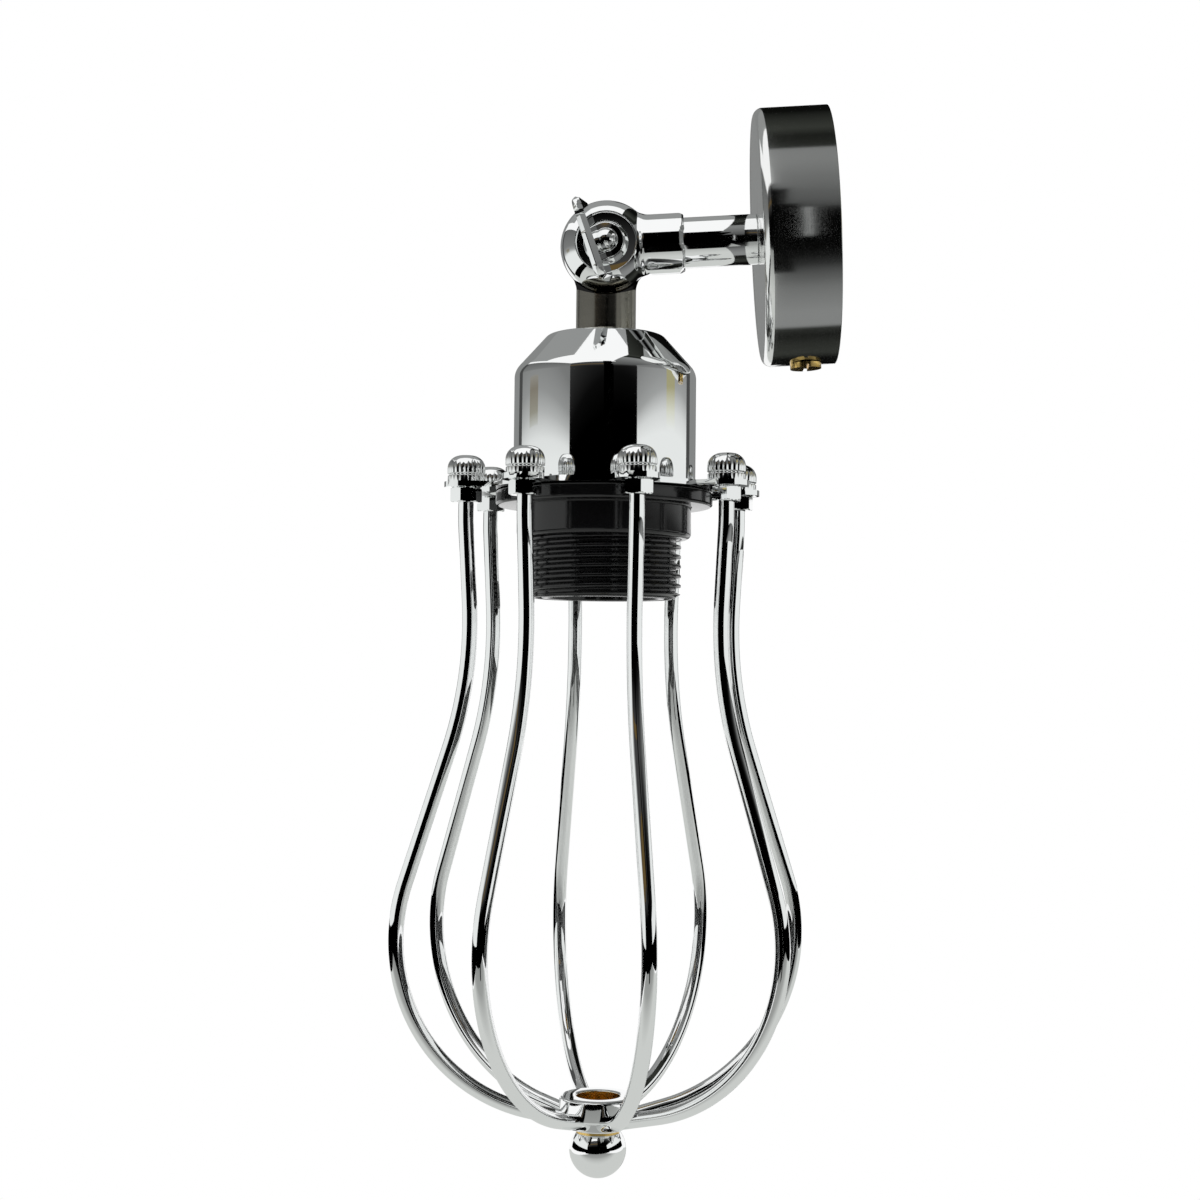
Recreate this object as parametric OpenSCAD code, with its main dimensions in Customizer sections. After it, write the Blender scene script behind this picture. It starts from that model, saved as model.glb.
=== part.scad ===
// Industrial wall sconce with a knuckle joint and a pear-shaped wire cage.
// The origin is the centre of the back of the wall plate. +Z is up, +Y points into the wall
// and the lamp hangs on the -Y side. All lengths are in millimetres.

/* [Wall plate] */
// Outside diameter of the wall plate
plate_d = 66; // [60:1:90]
// How far the wall plate stands out from the wall
plate_depth = 19; // [16:1:30]
// Thickness of the wall plate's sheet
plate_wall = 1.2; // [0.8:0.1:1.6]
// Radius of the wall plate's front edge
plate_edge_r = 2.4; // [1.8:0.2:4]

/* [Wall bracket] */
// Width of the steel strap
bracket_w = 15; // [12:1:20]
// Thickness of the strap
bracket_t = 1.5; // [1:0.1:2]
// Distance between the centres of the two wall slots
slot_spacing = 40; // [36:1:44]
// Width of a wall slot
slot_w = 4.5; // [4:0.1:5]
// Length of a wall slot from end to end
slot_l = 9; // [7:0.5:10]
// Length of the strap's bent ends, from the wall
lug_l = 12; // [11:0.5:14]
// Distance of the side screw from the wall
side_screw_y = 8; // [7:0.5:9]
// Thread diameter of the side screw
side_screw_d = 4; // [3:0.5:4]
// Diameter of the side screw's head
side_head_d = 8; // [7:0.5:9]
// Height of the side screw's head
side_head_h = 1.4; // [1.2:0.1:2]
// Height of the earth screw above the strap's centre
earth_z = 9; // [8:0.5:10]

/* [Arm] */
// Distance from the wall to the knuckle's pivot
arm_reach = 58; // [54:1:90]
// Diameter of the hollow threads that join the arm
thread_d = 10; // [9:0.5:10]
// Bore of the threaded nipples
nipple_bore = 7; // [5:0.5:7]
// Length of the nipple in the wall plate
arm_nipple_l = 22; // [18:1:24]
// Across flats of the lock nuts
lock_nut_af = 14; // [13:1:16]
// Height of the lock nuts
lock_nut_h = 3; // [2:0.5:4]
// Outside diameter of the arm tube
tube_d = 13; // [12.5:0.1:13.5]
// How deep the arm tube sits in its sleeve
tube_seat = 5.6; // [4:0.2:6]

/* [Knuckle] */
// Diameter of the knuckle's round halves
knuckle_d = 24; // [23:0.5:26]
// Thickness of one half
half_t = 7; // [6:0.5:8]
// Radius of the outer edge of a half
half_edge_r = 3.8; // [2:0.2:4.4]
// Gap between the two halves
half_gap = 0.3; // [0.2:0.05:0.5]
// Diameter of the sleeve and of the neck
sleeve_d = 15.5; // [15:0.5:16]
// Distance from the pivot to the end of the arm's sleeve
sleeve_reach = 20.2; // [20:0.2:24]
// Distance from the pivot to the end of the neck
neck_reach = 23.5; // [20.5:0.5:26]
// Gap between a half and the saddle in the other half's stem
saddle_gap = 1.8; // [1:0.1:1.8]
// Diameter of the recess round the wing screw
recess_d = 16; // [15:0.5:16.4]
// Depth of that recess
recess_depth = 1.2; // [0.8:0.1:1.6]
// Forward lean of the lamp from straight down
rest_tilt = 3.1; // [1:0.1:30]

/* [Wing screw] */
// Thread diameter of the wing screw
pivot_d = 5; // [4:0.5:6]
// Diameter of its collar
collar_d = 9.4; // [9:0.2:10]
// Height of the collar
collar_h = 2; // [1.6:0.1:2.4]
// Diameter of the washer under the collar
wing_washer_d = 11.6; // [11:0.2:14]
// Thickness of that washer
wing_washer_t = 1; // [0.6:0.1:1.4]
// Length of the flat wing
wing_l = 23.5; // [18:0.5:24]
// Height of the wing from its foot
wing_h = 11.5; // [9:0.5:13]
// Thickness of the wing
wing_t = 2.8; // [2:0.1:3.2]
// Lean of the wing to one side
wing_lean = 12; // [0:1:20]
// Distance of the wing's foot from the screw's axis
wing_offset = 2.2; // [0:0.2:2.6]
// Turn of the wing from upright
wing_turn = 16; // [0:1:90]

/* [Lampholder cup] */
// Outside diameter of the cup
cup_d = 47; // [46:0.5:50]
// Diameter of the flat top of the cup
cup_top_d = 30; // [28:0.5:34]
// Height of the cup's sloping shoulder
cup_shoulder_h = 9.5; // [8:0.5:12]
// Height of the whole cup
cup_h = 39; // [38:0.5:42]
// Thickness of the cup's sheet
cup_wall = 0.9; // [0.7:0.1:1.1]

/* [Lampholder] */
// Outside diameter of the threaded skirt
skirt_d = 40; // [39:0.5:40.5]
// Length of the skirt that shows below the cage plate
skirt_reach = 27.6; // [26:0.2:34]
// Pitch of the skirt's thread
skirt_pitch = 2.5; // [2:0.5:3]
// Depth of the skirt's thread
skirt_thread = 1.4; // [0.8:0.1:1.5]
// Inside diameter of the lamp's screw shell
shell_d = 26.8; // [26.6:0.1:27]
// Length of the screw shell
shell_l = 18; // [15:0.5:20]
// Thickness of the screw shell
shell_wall = 0.4; // [0.3:0.1:0.5]
// Inside diameter of the skirt's mouth
mouth_d = 28.8; // [28.4:0.1:29.2]
// Height of the ceramic core
core_h = 16; // [14:0.5:17]

/* [Retaining ring] */
// Diameter of the ring's flange
ring_flange_d = 56; // [52:1:60]
// Thickness of the flange
ring_flange_h = 3.7; // [3:0.1:5]
// Diameter of the ring's collar
ring_collar_d = 45; // [44:0.5:48]
// Height of the whole ring
ring_h = 12.2; // [10:0.2:15]

/* [Cage] */
// Diameter of the circle of the wires
cage_pcd = 72; // [70:1:80]
// Diameter of a wire
wire_d = 3.9; // [3.4:0.1:4]
// Angle of the first wire from the side of the lamp
first_wire = 14.7; // [10:0.1:35]
// Thickness of the plate that carries the wires
cage_plate_t = 1.4; // [1:0.1:2]
// Diameter of the plate between its lobes
cage_plate_d = 62; // [60:1:66]
// Diameter of a lobe
lobe_d = 11.2; // [10.8:0.2:12]
// Straight top of a wire, from its tip
top_run = 13.3; // [13:0.1:18]
// Inward lean of the wire below its nut
neck_lean = 3.25; // [2:0.25:5]
// Radius of the bend into the neck
neck_bend_r = 60; // [50:5:80]
// Straight length of the neck
neck_run = 18.6; // [14:0.2:24]
// Radius of the bend into the flank
flare_bend_r = 104; // [90:1:120]
// Outward angle of the flank
flank_angle = 17.7; // [15:0.1:20]
// Straight length of the flank
flank_run = 35; // [28:1:40]
// Radius of the cage's round bottom
bowl_r = 45.4; // [43:0.2:48]
// Inward angle of the wire where it meets the hub
hub_angle = 76.5; // [72:0.5:80]
// Across flats of the nuts under the plate
hex_nut_af = 7; // [7:0.5:8]
// Height of those nuts
hex_nut_h = 3.8; // [3:0.1:4]
// Diameter of the cap nuts on top of the plate
cap_nut_d = 9.7; // [8.5:0.1:10]
// Height of the cap nuts
cap_nut_h = 6.8; // [6:0.1:8]

/* [Hub and finial] */
// Diameter of the hub's flange
hub_d = 19.8; // [18:0.2:21]
// Height of the flange
hub_flange_h = 5.5; // [5:0.1:6]
// Diameter of the hub's waist, under the flange
hub_waist_d = 13.6; // [13.4:0.2:15]
// Height of the whole hub
hub_h = 8.4; // [8.4:0.2:11]
// Bore of the hub
hub_bore_d = 11.2; // [8:0.2:11.4]
// Diameter of the ball
ball_d = 14.5; // [13:0.5:16]

/* [Hidden] */
$fn = 64;

chrome = [0.78, 0.79, 0.8];
bright_brass = [0.86, 0.66, 0.25];
zinc = [0.62, 0.63, 0.64];
black_plastic = [0.08, 0.08, 0.09];
white_ceramic = [0.9, 0.89, 0.85];

// Clearances: between a thread or shaft and its hole, and through a plain hole
fit = 0.05;
hole_clear = 0.1;
// Overshoot of a cutter past the face that it cuts, and of a shape into the one that it joins
cut = 1;
// Slot in the head of a screw
driver_slot_w = 1.1;
driver_slot_depth = 0.7;

// Wall plate and bracket
plate_r = plate_d / 2;
plate_inner_r = plate_r - plate_wall;
lug_w = 12;
lug_clear = 0.2;
lug_out = sqrt(pow(plate_inner_r - lug_clear, 2) - pow(lug_w / 2, 2));
bracket_bend_r = 2.5;
peg_d = 3;
peg_short = 0.3;
side_screw_l = 5;
earth_screw_d = 4;
earth_head_d = 7;
earth_head_h = 2.2;
earth_screw_short = 0.1;
earth_washer_d = 8.4;
earth_washer_t = 0.8;
nipple_washer_d = 18;
nipple_washer_t = 0.8;

// Arm. The nipple stands out a little past the free side of its nut.
nipple_past_nut = 1.5;
nipple_back_y = -(plate_depth - plate_wall - nipple_washer_t - lock_nut_h - nipple_past_nut);
tube_end_y = -(arm_reach - sleeve_reach + tube_seat);
cable_bore_d = 5.6;

// Knuckle
knuckle_r = knuckle_d / 2;
saddle_r = knuckle_r + saddle_gap;
pivot_wall = 2;
cavity_inner_d = pivot_d + 2 * pivot_wall;
cavity_outer_d = 17;
cavity_depth = 2;
stem_sink = 1.6;
stem_start = knuckle_r - stem_sink;
neck_thread_l = 6;
end_chamfer = 0.5;

// Wing screw, along +X from the pivot. The wing turns clear of the sleeve and of the neck.
recess_x = half_t - recess_depth;
collar_x = recess_x + wing_washer_t + hole_clear;
pivot_short = 0.6;
wing_clear = 0.3;
wing_foot_x = max(sleeve_d / 2, half_t) + wing_clear + wing_t / 2 * sin(wing_lean);
wing_corner_r = 3.4;
wing_boss_r = 3;

// Lampholder, along the head's own axis, which points up at z = 0
cup_r = cup_d / 2;
cup_top_z = -neck_reach;
plate_top_z = cup_top_z - cup_h;
plate_under_z = plate_top_z - cage_plate_t;
dome_top_z = cup_top_z - cup_wall - lock_nut_h;
dome_step = 0.4;
dome_r = skirt_d / 2 + dome_step;
dome_top_r = 13.6;
dome_slope_h = 7;
dome_roof = 3;
dome_wall = 1.9;
dome_top_wall = 3;
dome_ledge = 2;
mouth_z = plate_under_z - skirt_reach;
core_lift = 0.5;
core_bottom_z = plate_top_z + core_lift;
core_top_z = core_bottom_z + core_h;
core_r = 16.9;
dome_overlap = 6;
dome_rim_z = core_top_z - dome_overlap;
spigot_h = 4;
terminal_x = 8;
terminal_d = 3.4;
rivet_d = 2;
rivet_l = 4;
terminal_l = 7;
terminal_head_d = 6;
terminal_head_h = 2;
terminal_room = 0.5;
nipple_past_dome = 1;
nipple_short = 0.3;
thread_margin = 1;
thread_flank = 0.28 * skirt_pitch;
thread_crest = 0.24 * skirt_pitch;
mouth_groove_h = 8;
mouth_wall = 1.5;
skirt_wall = 1;
core_boss_h = 4;
core_boss_d = 26.4;
contact_recess_d = 13;
contact_t = 0.5;
contact_w = 5;
contact_foot_l = 4;
contact_leaf_l = 6.4;
contact_angle = 30;
contact_margin = 1;
contact_x = -contact_recess_d / 2 + contact_margin;
rivet_x = contact_x + contact_foot_l / 2;
ring_gap = 0.15;
ring_top_z = plate_under_z - ring_gap;
ring_bottom_z = plate_under_z - ring_h;
ring_clear = 0.08;
ring_inner_r = skirt_d / 2 + ring_clear;
ring_edge_r = 1.6;

// Cage plate and cap nuts. Each wire is a node of its own.
wires = 8;
plate_bore_clear = 0.3;
cap_roof = 1.8;
cap_hole_h = cap_nut_h - cap_roof;
cap_foot_h = 1.6;
cap_foot_inset = 0.1;
cap_groove_h = 0.4;
cap_groove_depth = 0.4;
cap_edge_r = 3.4;

// One wire, in the plane of its radius and height. Headings are degrees outward of straight down.
wire_r = wire_d / 2;
tip_clear = 0.2;
tip = [cage_pcd / 2, plate_top_z + cap_hole_h - tip_clear];
nut_end = after_run(tip, 0, top_run);
neck_start = after_bend(nut_end, neck_bend_r, 0, -neck_lean);
neck_end = after_run(neck_start, -neck_lean, neck_run);
flank_start = after_bend(neck_end, flare_bend_r, -neck_lean, flank_angle);
flank_end = after_run(flank_start, flank_angle, flank_run);
bowl_end = after_bend(flank_end, bowl_r, flank_angle, -hub_angle);
socket_floor = 0.7;
socket_r = hub_bore_d / 2 + socket_floor;
last_run = (bowl_end[0] - socket_r) / sin(hub_angle);
wire_end = after_run(bowl_end, -hub_angle, last_run);
wire_sides = 12;
wire_path = concat(
    [[tip[0], tip[1], 0], [nut_end[0], nut_end[1], 0]],
    bend_path(nut_end, neck_bend_r, 0, -neck_lean, 2),
    [[neck_end[0], neck_end[1], -neck_lean]],
    bend_path(neck_end, flare_bend_r, -neck_lean, flank_angle, 6),
    [[flank_end[0], flank_end[1], flank_angle]],
    bend_path(flank_end, bowl_r, flank_angle, -hub_angle, 18),
    [[wire_end[0], wire_end[1], -hub_angle]]
);

// Hub and ball
hub_r = hub_d / 2;
hub_rim = 6.1;
hub_top_z = wire_end[1] + hub_rim;
hub_bottom_z = hub_top_z - hub_h;
finial_gap = 0.8;
stud_recess = 4.5;
stud_top_z = hub_top_z - stud_recess;
ball_r = ball_d / 2;
ball_land = 0.2;
ball_flat_r = hub_bore_d / 2 + ball_land;
ball_z = hub_bottom_z - finial_gap - sqrt(pow(ball_r, 2) - pow(ball_flat_r, 2));

// Where a point is after a straight run or a bend that starts there
function after_run(p, heading, l) = [p[0] + l * sin(heading), p[1] - l * cos(heading)];
function after_bend(p, r, from, to) =
    let (side = to > from ? 1 : -1)
    [p[0] + side * r * (cos(from) - cos(to)), p[1] - side * r * (sin(to) - sin(from))];

// The points along a bend after its start, each with its heading
function bend_path(p, r, from, to, steps) = [
    for (k = [1 : steps])
        let (heading = from + (to - from) * k / steps)
        concat(after_bend(p, r, from, heading), [heading])
];

// Carries a shape from the head's own axis to its place on the lamp
module on_head() {
    translate([0, -arm_reach, 0])
        rotate([-rest_tilt, 0, 0])
            children();
}

// Turns a shape that stands on +Z so that it stands out from the wall, along -Y
module off_wall() {
    rotate([90, 0, 0])
        children();
}

// A round rod or hole between two levels
module rod(d, low, high) {
    translate([0, 0, low])
        cylinder(h = high - low, d = d);
}

// A round tube between two levels
module tube(outer_d, inner_d, low, high) {
    difference() {
        rod(outer_d, low, high);
        rod(inner_d, low - cut, high + cut);
    }
}

// A hexagonal nut between two levels
module hex_nut(af, bore_d, low, high) {
    difference() {
        translate([0, 0, low])
            cylinder(h = high - low, d = af / cos(30), $fn = 6);
        rod(bore_d, low - cut, high + cut);
    }
}

// Half of a rounded outline: flat bottom at zero, rounded at the top outer corner
module rounded_half(r, h, edge) {
    square([r - edge, h]);
    square([r, h - edge]);
    translate([r - edge, h - edge])
        intersection() {
            circle(edge);
            square(edge);
        }
}

module wall_plate() {
    color(chrome)
        difference() {
            off_wall()
                rotate_extrude()
                    difference() {
                        rounded_half(plate_r, plate_depth, plate_edge_r);
                        rounded_half(plate_inner_r, plate_depth - plate_wall, plate_edge_r - plate_wall);
                    }
            off_wall()
                rod(thread_d + 2 * hole_clear, 0, plate_depth + cut);
            translate([0, -side_screw_y, 0])
                rod(side_screw_d + 2 * hole_clear, -plate_r - cut, 0);
            translate([0, -side_screw_y, 0])
                rod(peg_d + 2 * hole_clear, 0, plate_r + cut);
        }
}

// The strap seen from its edge: a shallow U with rounded corners
module strap_outline(half_l, depth, bend_r) {
    translate([-half_l + bend_r, 0])
        square([2 * (half_l - bend_r), depth]);
    translate([-half_l, bend_r])
        square([2 * half_l, depth - bend_r]);
    for (side = [-1, 1])
        translate([side * (half_l - bend_r), bend_r])
            circle(bend_r);
}

module wall_bracket() {
    color(zinc)
        difference() {
            union() {
                rotate([180, -90, 0])
                    translate([0, 0, -lug_w / 2])
                        linear_extrude(lug_w)
                            difference() {
                                strap_outline(lug_out, lug_l, bracket_bend_r);
                                translate([0, bracket_t])
                                    strap_outline(lug_out - bracket_t, lug_l, bracket_bend_r - bracket_t);
                            }
                translate([-bracket_w / 2, -bracket_t, -lug_out + bracket_w / 2])
                    cube([bracket_w, bracket_t, 2 * lug_out - bracket_w]);
                translate([0, -side_screw_y, 0])
                    rod(peg_d, lug_out - bracket_t / 2, plate_r - peg_short);
            }
            for (z = [-slot_spacing / 2, slot_spacing / 2])
                translate([0, 0, z])
                    off_wall()
                        wall_slot();
            translate([0, -side_screw_y, 0])
                rod(side_screw_d + 2 * fit, -lug_out - cut, -lug_out + bracket_t + cut);
            translate([0, 0, earth_z])
                off_wall()
                    rod(earth_screw_d + 2 * fit, -cut, bracket_t + cut);
        }
}

module wall_slot() {
    for (side = [-1, 1])
        translate([0, side * (slot_l - slot_w) / 2, 0])
            rod(slot_w, -cut, bracket_t + cut);
    translate([-slot_w / 2, -(slot_l - slot_w) / 2, -cut])
        cube([slot_w, slot_l - slot_w, bracket_t + 2 * cut]);
}

// A cheese-head screw whose head starts at zero and stands on +Z, with its shank below
module cheese_screw(d, l, head_d, head_h) {
    difference() {
        union() {
            rod(head_d, 0, head_h);
            rod(d, -l, head_h / 2);
        }
        translate([-head_d, -driver_slot_w / 2, head_h - driver_slot_depth])
            cube([2 * head_d, driver_slot_w, head_h]);
    }
}

module plate_screw() {
    color(bright_brass)
        translate([0, -side_screw_y, -plate_r])
            rotate([180, 0, 0])
                cheese_screw(side_screw_d, side_screw_l, side_head_d, side_head_h);
}

module earth_screw() {
    color(bright_brass)
        translate([0, -bracket_t - earth_washer_t, earth_z])
            off_wall()
                cheese_screw(earth_screw_d, earth_washer_t + bracket_t - earth_screw_short,
                    earth_head_d, earth_head_h);
}

module earth_washer() {
    color(bright_brass)
        translate([0, -bracket_t, earth_z])
            off_wall()
                tube(earth_washer_d, earth_screw_d + 2 * hole_clear, 0, earth_washer_t);
}

module arm_nipple() {
    color(zinc)
        off_wall()
            tube(thread_d, nipple_bore, -nipple_back_y, -nipple_back_y + arm_nipple_l);
}

module nipple_washer() {
    color(zinc)
        off_wall()
            tube(nipple_washer_d, thread_d + 2 * hole_clear,
                plate_depth - plate_wall - nipple_washer_t, plate_depth - plate_wall);
}

module nipple_nut() {
    color(zinc)
        off_wall()
            hex_nut(lock_nut_af, thread_d + 2 * fit,
                plate_depth - plate_wall - nipple_washer_t - lock_nut_h,
                plate_depth - plate_wall - nipple_washer_t);
}

module arm_tube() {
    color(chrome)
        off_wall()
            tube(tube_d, thread_d + 2 * fit, plate_depth, -tube_end_y);
}

// One half of the knuckle, with its stem on -Z and its round half on +X
module knuckle_half(reach) {
    difference() {
        union() {
            rotate([0, 90, 0])
                rotate_extrude()
                    rounded_half(knuckle_r, half_t, half_edge_r);
            rod(sleeve_d, -reach + end_chamfer, -stem_start);
            translate([0, 0, -reach])
                cylinder(h = end_chamfer, d1 = sleeve_d - 2 * end_chamfer, d2 = sleeve_d);
            translate([0, 0, -stem_start])
                sphere(d = sleeve_d);
        }
        // the other half turns here
        rotate([0, -90, 0])
            cylinder(h = 2 * sleeve_d, r = saddle_r);
        rotate([0, 90, 0])
            cylinder(h = half_gap / 2, r = saddle_r);
        // recess round the clamping screw, and its hole
        rotate([0, 90, 0])
            rod(recess_d, recess_x, 2 * sleeve_d);
        rotate([0, 90, 0])
            rod(pivot_d + 2 * fit, -cut, half_t);
        // ring-shaped way for the flex round the screw, and the bore that leads to it
        rotate([0, 90, 0])
            tube(cavity_outer_d, cavity_inner_d, -cut, half_gap / 2 + cavity_depth);
        rod(cable_bore_d, -reach - cut, -cavity_outer_d / 2 + cut);
    }
}

module arm_knuckle() {
    color(chrome)
        translate([0, -arm_reach, 0])
            rotate([90, 0, 0])
                difference() {
                    knuckle_half(sleeve_reach);
                    rod(tube_d + 2 * fit, -sleeve_reach - cut, -sleeve_reach + tube_seat);
                }
}

module head_knuckle() {
    color(chrome)
        on_head()
            mirror([1, 0, 0])
                difference() {
                    knuckle_half(neck_reach);
                    rod(thread_d + 2 * fit, -neck_reach - cut, -neck_reach + neck_thread_l);
                }
}

module wing_washer() {
    color(zinc)
        translate([0, -arm_reach, 0])
            rotate([0, 90, 0])
                tube(wing_washer_d, pivot_d + 2 * hole_clear, recess_x, recess_x + wing_washer_t);
}

// Outline of the flat wing, with its foot at zero
module wing_outline() {
    for (side = [-1, 1])
        for (v = [wing_corner_r, wing_h - wing_corner_r])
            translate([side * (wing_l / 2 - wing_corner_r), v])
                circle(wing_corner_r);
    translate([-wing_l / 2 + wing_corner_r, 0])
        square([wing_l - 2 * wing_corner_r, wing_h]);
    translate([-wing_l / 2, wing_corner_r])
        square([wing_l, wing_h - 2 * wing_corner_r]);
}

module wing_screw() {
    collar_top = collar_x + collar_h;
    color(chrome)
        translate([0, -arm_reach, 0])
            rotate([wing_turn, 0, 0]) {
                rotate([0, 90, 0])
                    rod(pivot_d, -half_t + pivot_short, collar_x + collar_h / 2);
                rotate([0, 90, 0])
                    rod(collar_d, collar_x, collar_top);
                rotate([0, 90, 0])
                    rotate_extrude()
                        translate([0, collar_top])
                            intersection() {
                                circle(wing_boss_r);
                                square(wing_boss_r);
                            }
                translate([wing_foot_x, -wing_offset, 0])
                    rotate([0, 0, -wing_lean])
                        rotate([-90, -90, 0])
                            translate([0, 0, -wing_t / 2])
                                linear_extrude(wing_t)
                                    wing_outline();
            }
}

module neck_nipple() {
    color(zinc)
        on_head()
            tube(thread_d, nipple_bore, dome_top_z - dome_roof - nipple_past_dome,
                cup_top_z + neck_thread_l - nipple_short);
}

module neck_nut() {
    color(zinc)
        on_head()
            hex_nut(lock_nut_af, thread_d + 2 * fit, dome_top_z, cup_top_z - cup_wall);
}

// Outline of the cup: flat top, sloping shoulder, straight side. The inset makes its inside.
module cup_outline(inset) {
    slope = (cup_d - cup_top_d) / 2 / cup_shoulder_h;
    corner = inset * (sqrt(1 + slope * slope) - 1) / slope;
    top_r = cup_top_d / 2 - corner;
    side_r = cup_r - inset;
    polygon([
        [0, -inset],
        [top_r, -inset],
        [side_r, -inset - (side_r - top_r) / slope],
        [side_r, -cup_h - (inset > 0 ? cut : 0)],
        [0, -cup_h - (inset > 0 ? cut : 0)]
    ]);
}

module holder_cup() {
    color(chrome)
        on_head()
            translate([0, 0, cup_top_z])
                difference() {
                    rotate_extrude()
                        difference() {
                            cup_outline(0);
                            cup_outline(cup_wall);
                        }
                    rod(thread_d + 2 * hole_clear, -cup_wall - cut, cut);
                }
}

module holder_dome() {
    color(black_plastic)
        on_head()
            difference() {
                union() {
                    translate([0, 0, dome_top_z - dome_slope_h])
                        cylinder(h = dome_slope_h, r1 = dome_r, r2 = dome_top_r);
                    rod(2 * dome_r, dome_rim_z, dome_top_z - dome_slope_h);
                }
                rod(thread_d + 2 * fit, core_top_z, dome_top_z + cut);
                translate([0, 0, core_top_z])
                    cylinder(h = dome_top_z - dome_roof - core_top_z,
                        r1 = core_r - dome_ledge, r2 = dome_top_r - dome_top_wall);
                rod(2 * (dome_r - dome_wall), dome_rim_z - cut, core_top_z);
            }
}

module holder_core() {
    color(white_ceramic)
        on_head()
            difference() {
                union() {
                    rod(2 * core_r, core_bottom_z, core_top_z);
                    rod(core_boss_d, core_bottom_z - core_boss_h, core_bottom_z);
                }
                for (x = [-terminal_x, terminal_x])
                    translate([x, 0, 0])
                        rod(terminal_d + 2 * fit,
                            core_top_z - terminal_l - terminal_room, core_top_z + cut);
                rod(contact_recess_d, core_bottom_z - core_boss_h - cut, core_bottom_z);
                translate([rivet_x, 0, 0])
                    rod(rivet_d + 2 * fit, core_bottom_z - cut, core_bottom_z + rivet_l);
            }
}

module terminal_screws() {
    color(bright_brass)
        on_head()
            for (x = [-terminal_x, terminal_x])
                translate([x, 0, core_top_z])
                    cheese_screw(terminal_d, terminal_l, terminal_head_d, terminal_head_h);
}

module screw_shell() {
    top_z = core_bottom_z - core_boss_h;
    color(bright_brass)
        on_head() {
            tube(shell_d + 2 * shell_wall, shell_d, top_z - shell_l, top_z);
            tube(shell_d + shell_wall, contact_recess_d, top_z - shell_wall, top_z);
        }
}

// A leaf that is riveted inside the core's recess and springs down towards the lamp
module centre_contact() {
    color(bright_brass)
        on_head()
            translate([0, 0, core_bottom_z - contact_t]) {
                translate([rivet_x, 0, 0])
                    rod(rivet_d, 0, rivet_l);
                translate([contact_x, -contact_w / 2, 0])
                    cube([contact_foot_l, contact_w, contact_t]);
                translate([contact_x + contact_foot_l, -contact_w / 2, 0])
                    translate([0, 0, contact_t])
                        rotate([0, contact_angle, 0])
                            translate([0, 0, -contact_t])
                                cube([contact_leaf_l, contact_w, contact_t]);
            }
}

// Outline of the skirt's outside, from its mouth up to the collar that the dome seats on
module skirt_outline() {
    root_r = skirt_d / 2 - skirt_thread;
    thread_top = skirt_reach - thread_margin;
    turns = floor(thread_top / skirt_pitch);
    ridge_w = 2 * thread_flank + thread_crest;
    groove_w = skirt_pitch - ridge_w;
    square([root_r, dome_rim_z - mouth_z]);
    translate([0, thread_top])
        square([skirt_d / 2, dome_rim_z - mouth_z - thread_top]);
    for (turn = [0 : turns - 1])
        translate([0, thread_top - (turn + 1) * skirt_pitch + groove_w / 2])
            polygon([
                [root_r - cut, 0],
                [root_r, 0],
                [root_r + skirt_thread, thread_flank],
                [root_r + skirt_thread, thread_flank + thread_crest],
                [root_r, ridge_w],
                [root_r - cut, ridge_w]
            ]);
}

module holder_skirt() {
    spigot_r = dome_r - dome_wall - fit;
    color(black_plastic)
        on_head()
            difference() {
                union() {
                    translate([0, 0, mouth_z])
                        rotate_extrude()
                            skirt_outline();
                    rod(2 * spigot_r, dome_rim_z - cut, dome_rim_z + spigot_h);
                }
                rod(mouth_d, mouth_z - cut, dome_rim_z + spigot_h + cut);
                rod(2 * (core_r + fit), core_bottom_z, dome_rim_z + spigot_h + cut);
                tube(skirt_d - 2 * (skirt_thread + skirt_wall), mouth_d + 2 * mouth_wall,
                    mouth_z - cut, mouth_z + mouth_groove_h);
            }
}

module retaining_ring() {
    color(black_plastic)
        on_head()
            difference() {
                translate([0, 0, ring_top_z])
                    mirror([0, 0, 1])
                        rotate_extrude() {
                            rounded_half(ring_collar_d / 2, ring_top_z - ring_bottom_z, ring_edge_r);
                            rounded_half(ring_flange_d / 2, ring_flange_h, ring_edge_r / 2);
                        }
                rod(2 * ring_inner_r, ring_bottom_z - cut, ring_top_z + cut);
            }
}

// Places a shape at each wire, with +X pointing outwards
module at_wires() {
    for (i = [0 : wires - 1])
        rotate([0, 0, first_wire + i * 360 / wires])
            children();
}

module cage_plate() {
    color(chrome)
        on_head()
            difference() {
                union() {
                    rod(cage_plate_d, plate_under_z, plate_top_z);
                    at_wires()
                        translate([0, -lobe_d / 2, plate_under_z])
                            cube([cage_pcd / 2, lobe_d, cage_plate_t]);
                    at_wires()
                        translate([cage_pcd / 2, 0, 0])
                            rod(lobe_d, plate_under_z, plate_top_z);
                }
                rod(skirt_d + 2 * plate_bore_clear, plate_under_z - cut, plate_top_z + cut);
                at_wires()
                    translate([cage_pcd / 2, 0, 0])
                        rod(wire_d + 2 * hole_clear, plate_under_z - cut, plate_top_z + cut);
            }
}

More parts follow.
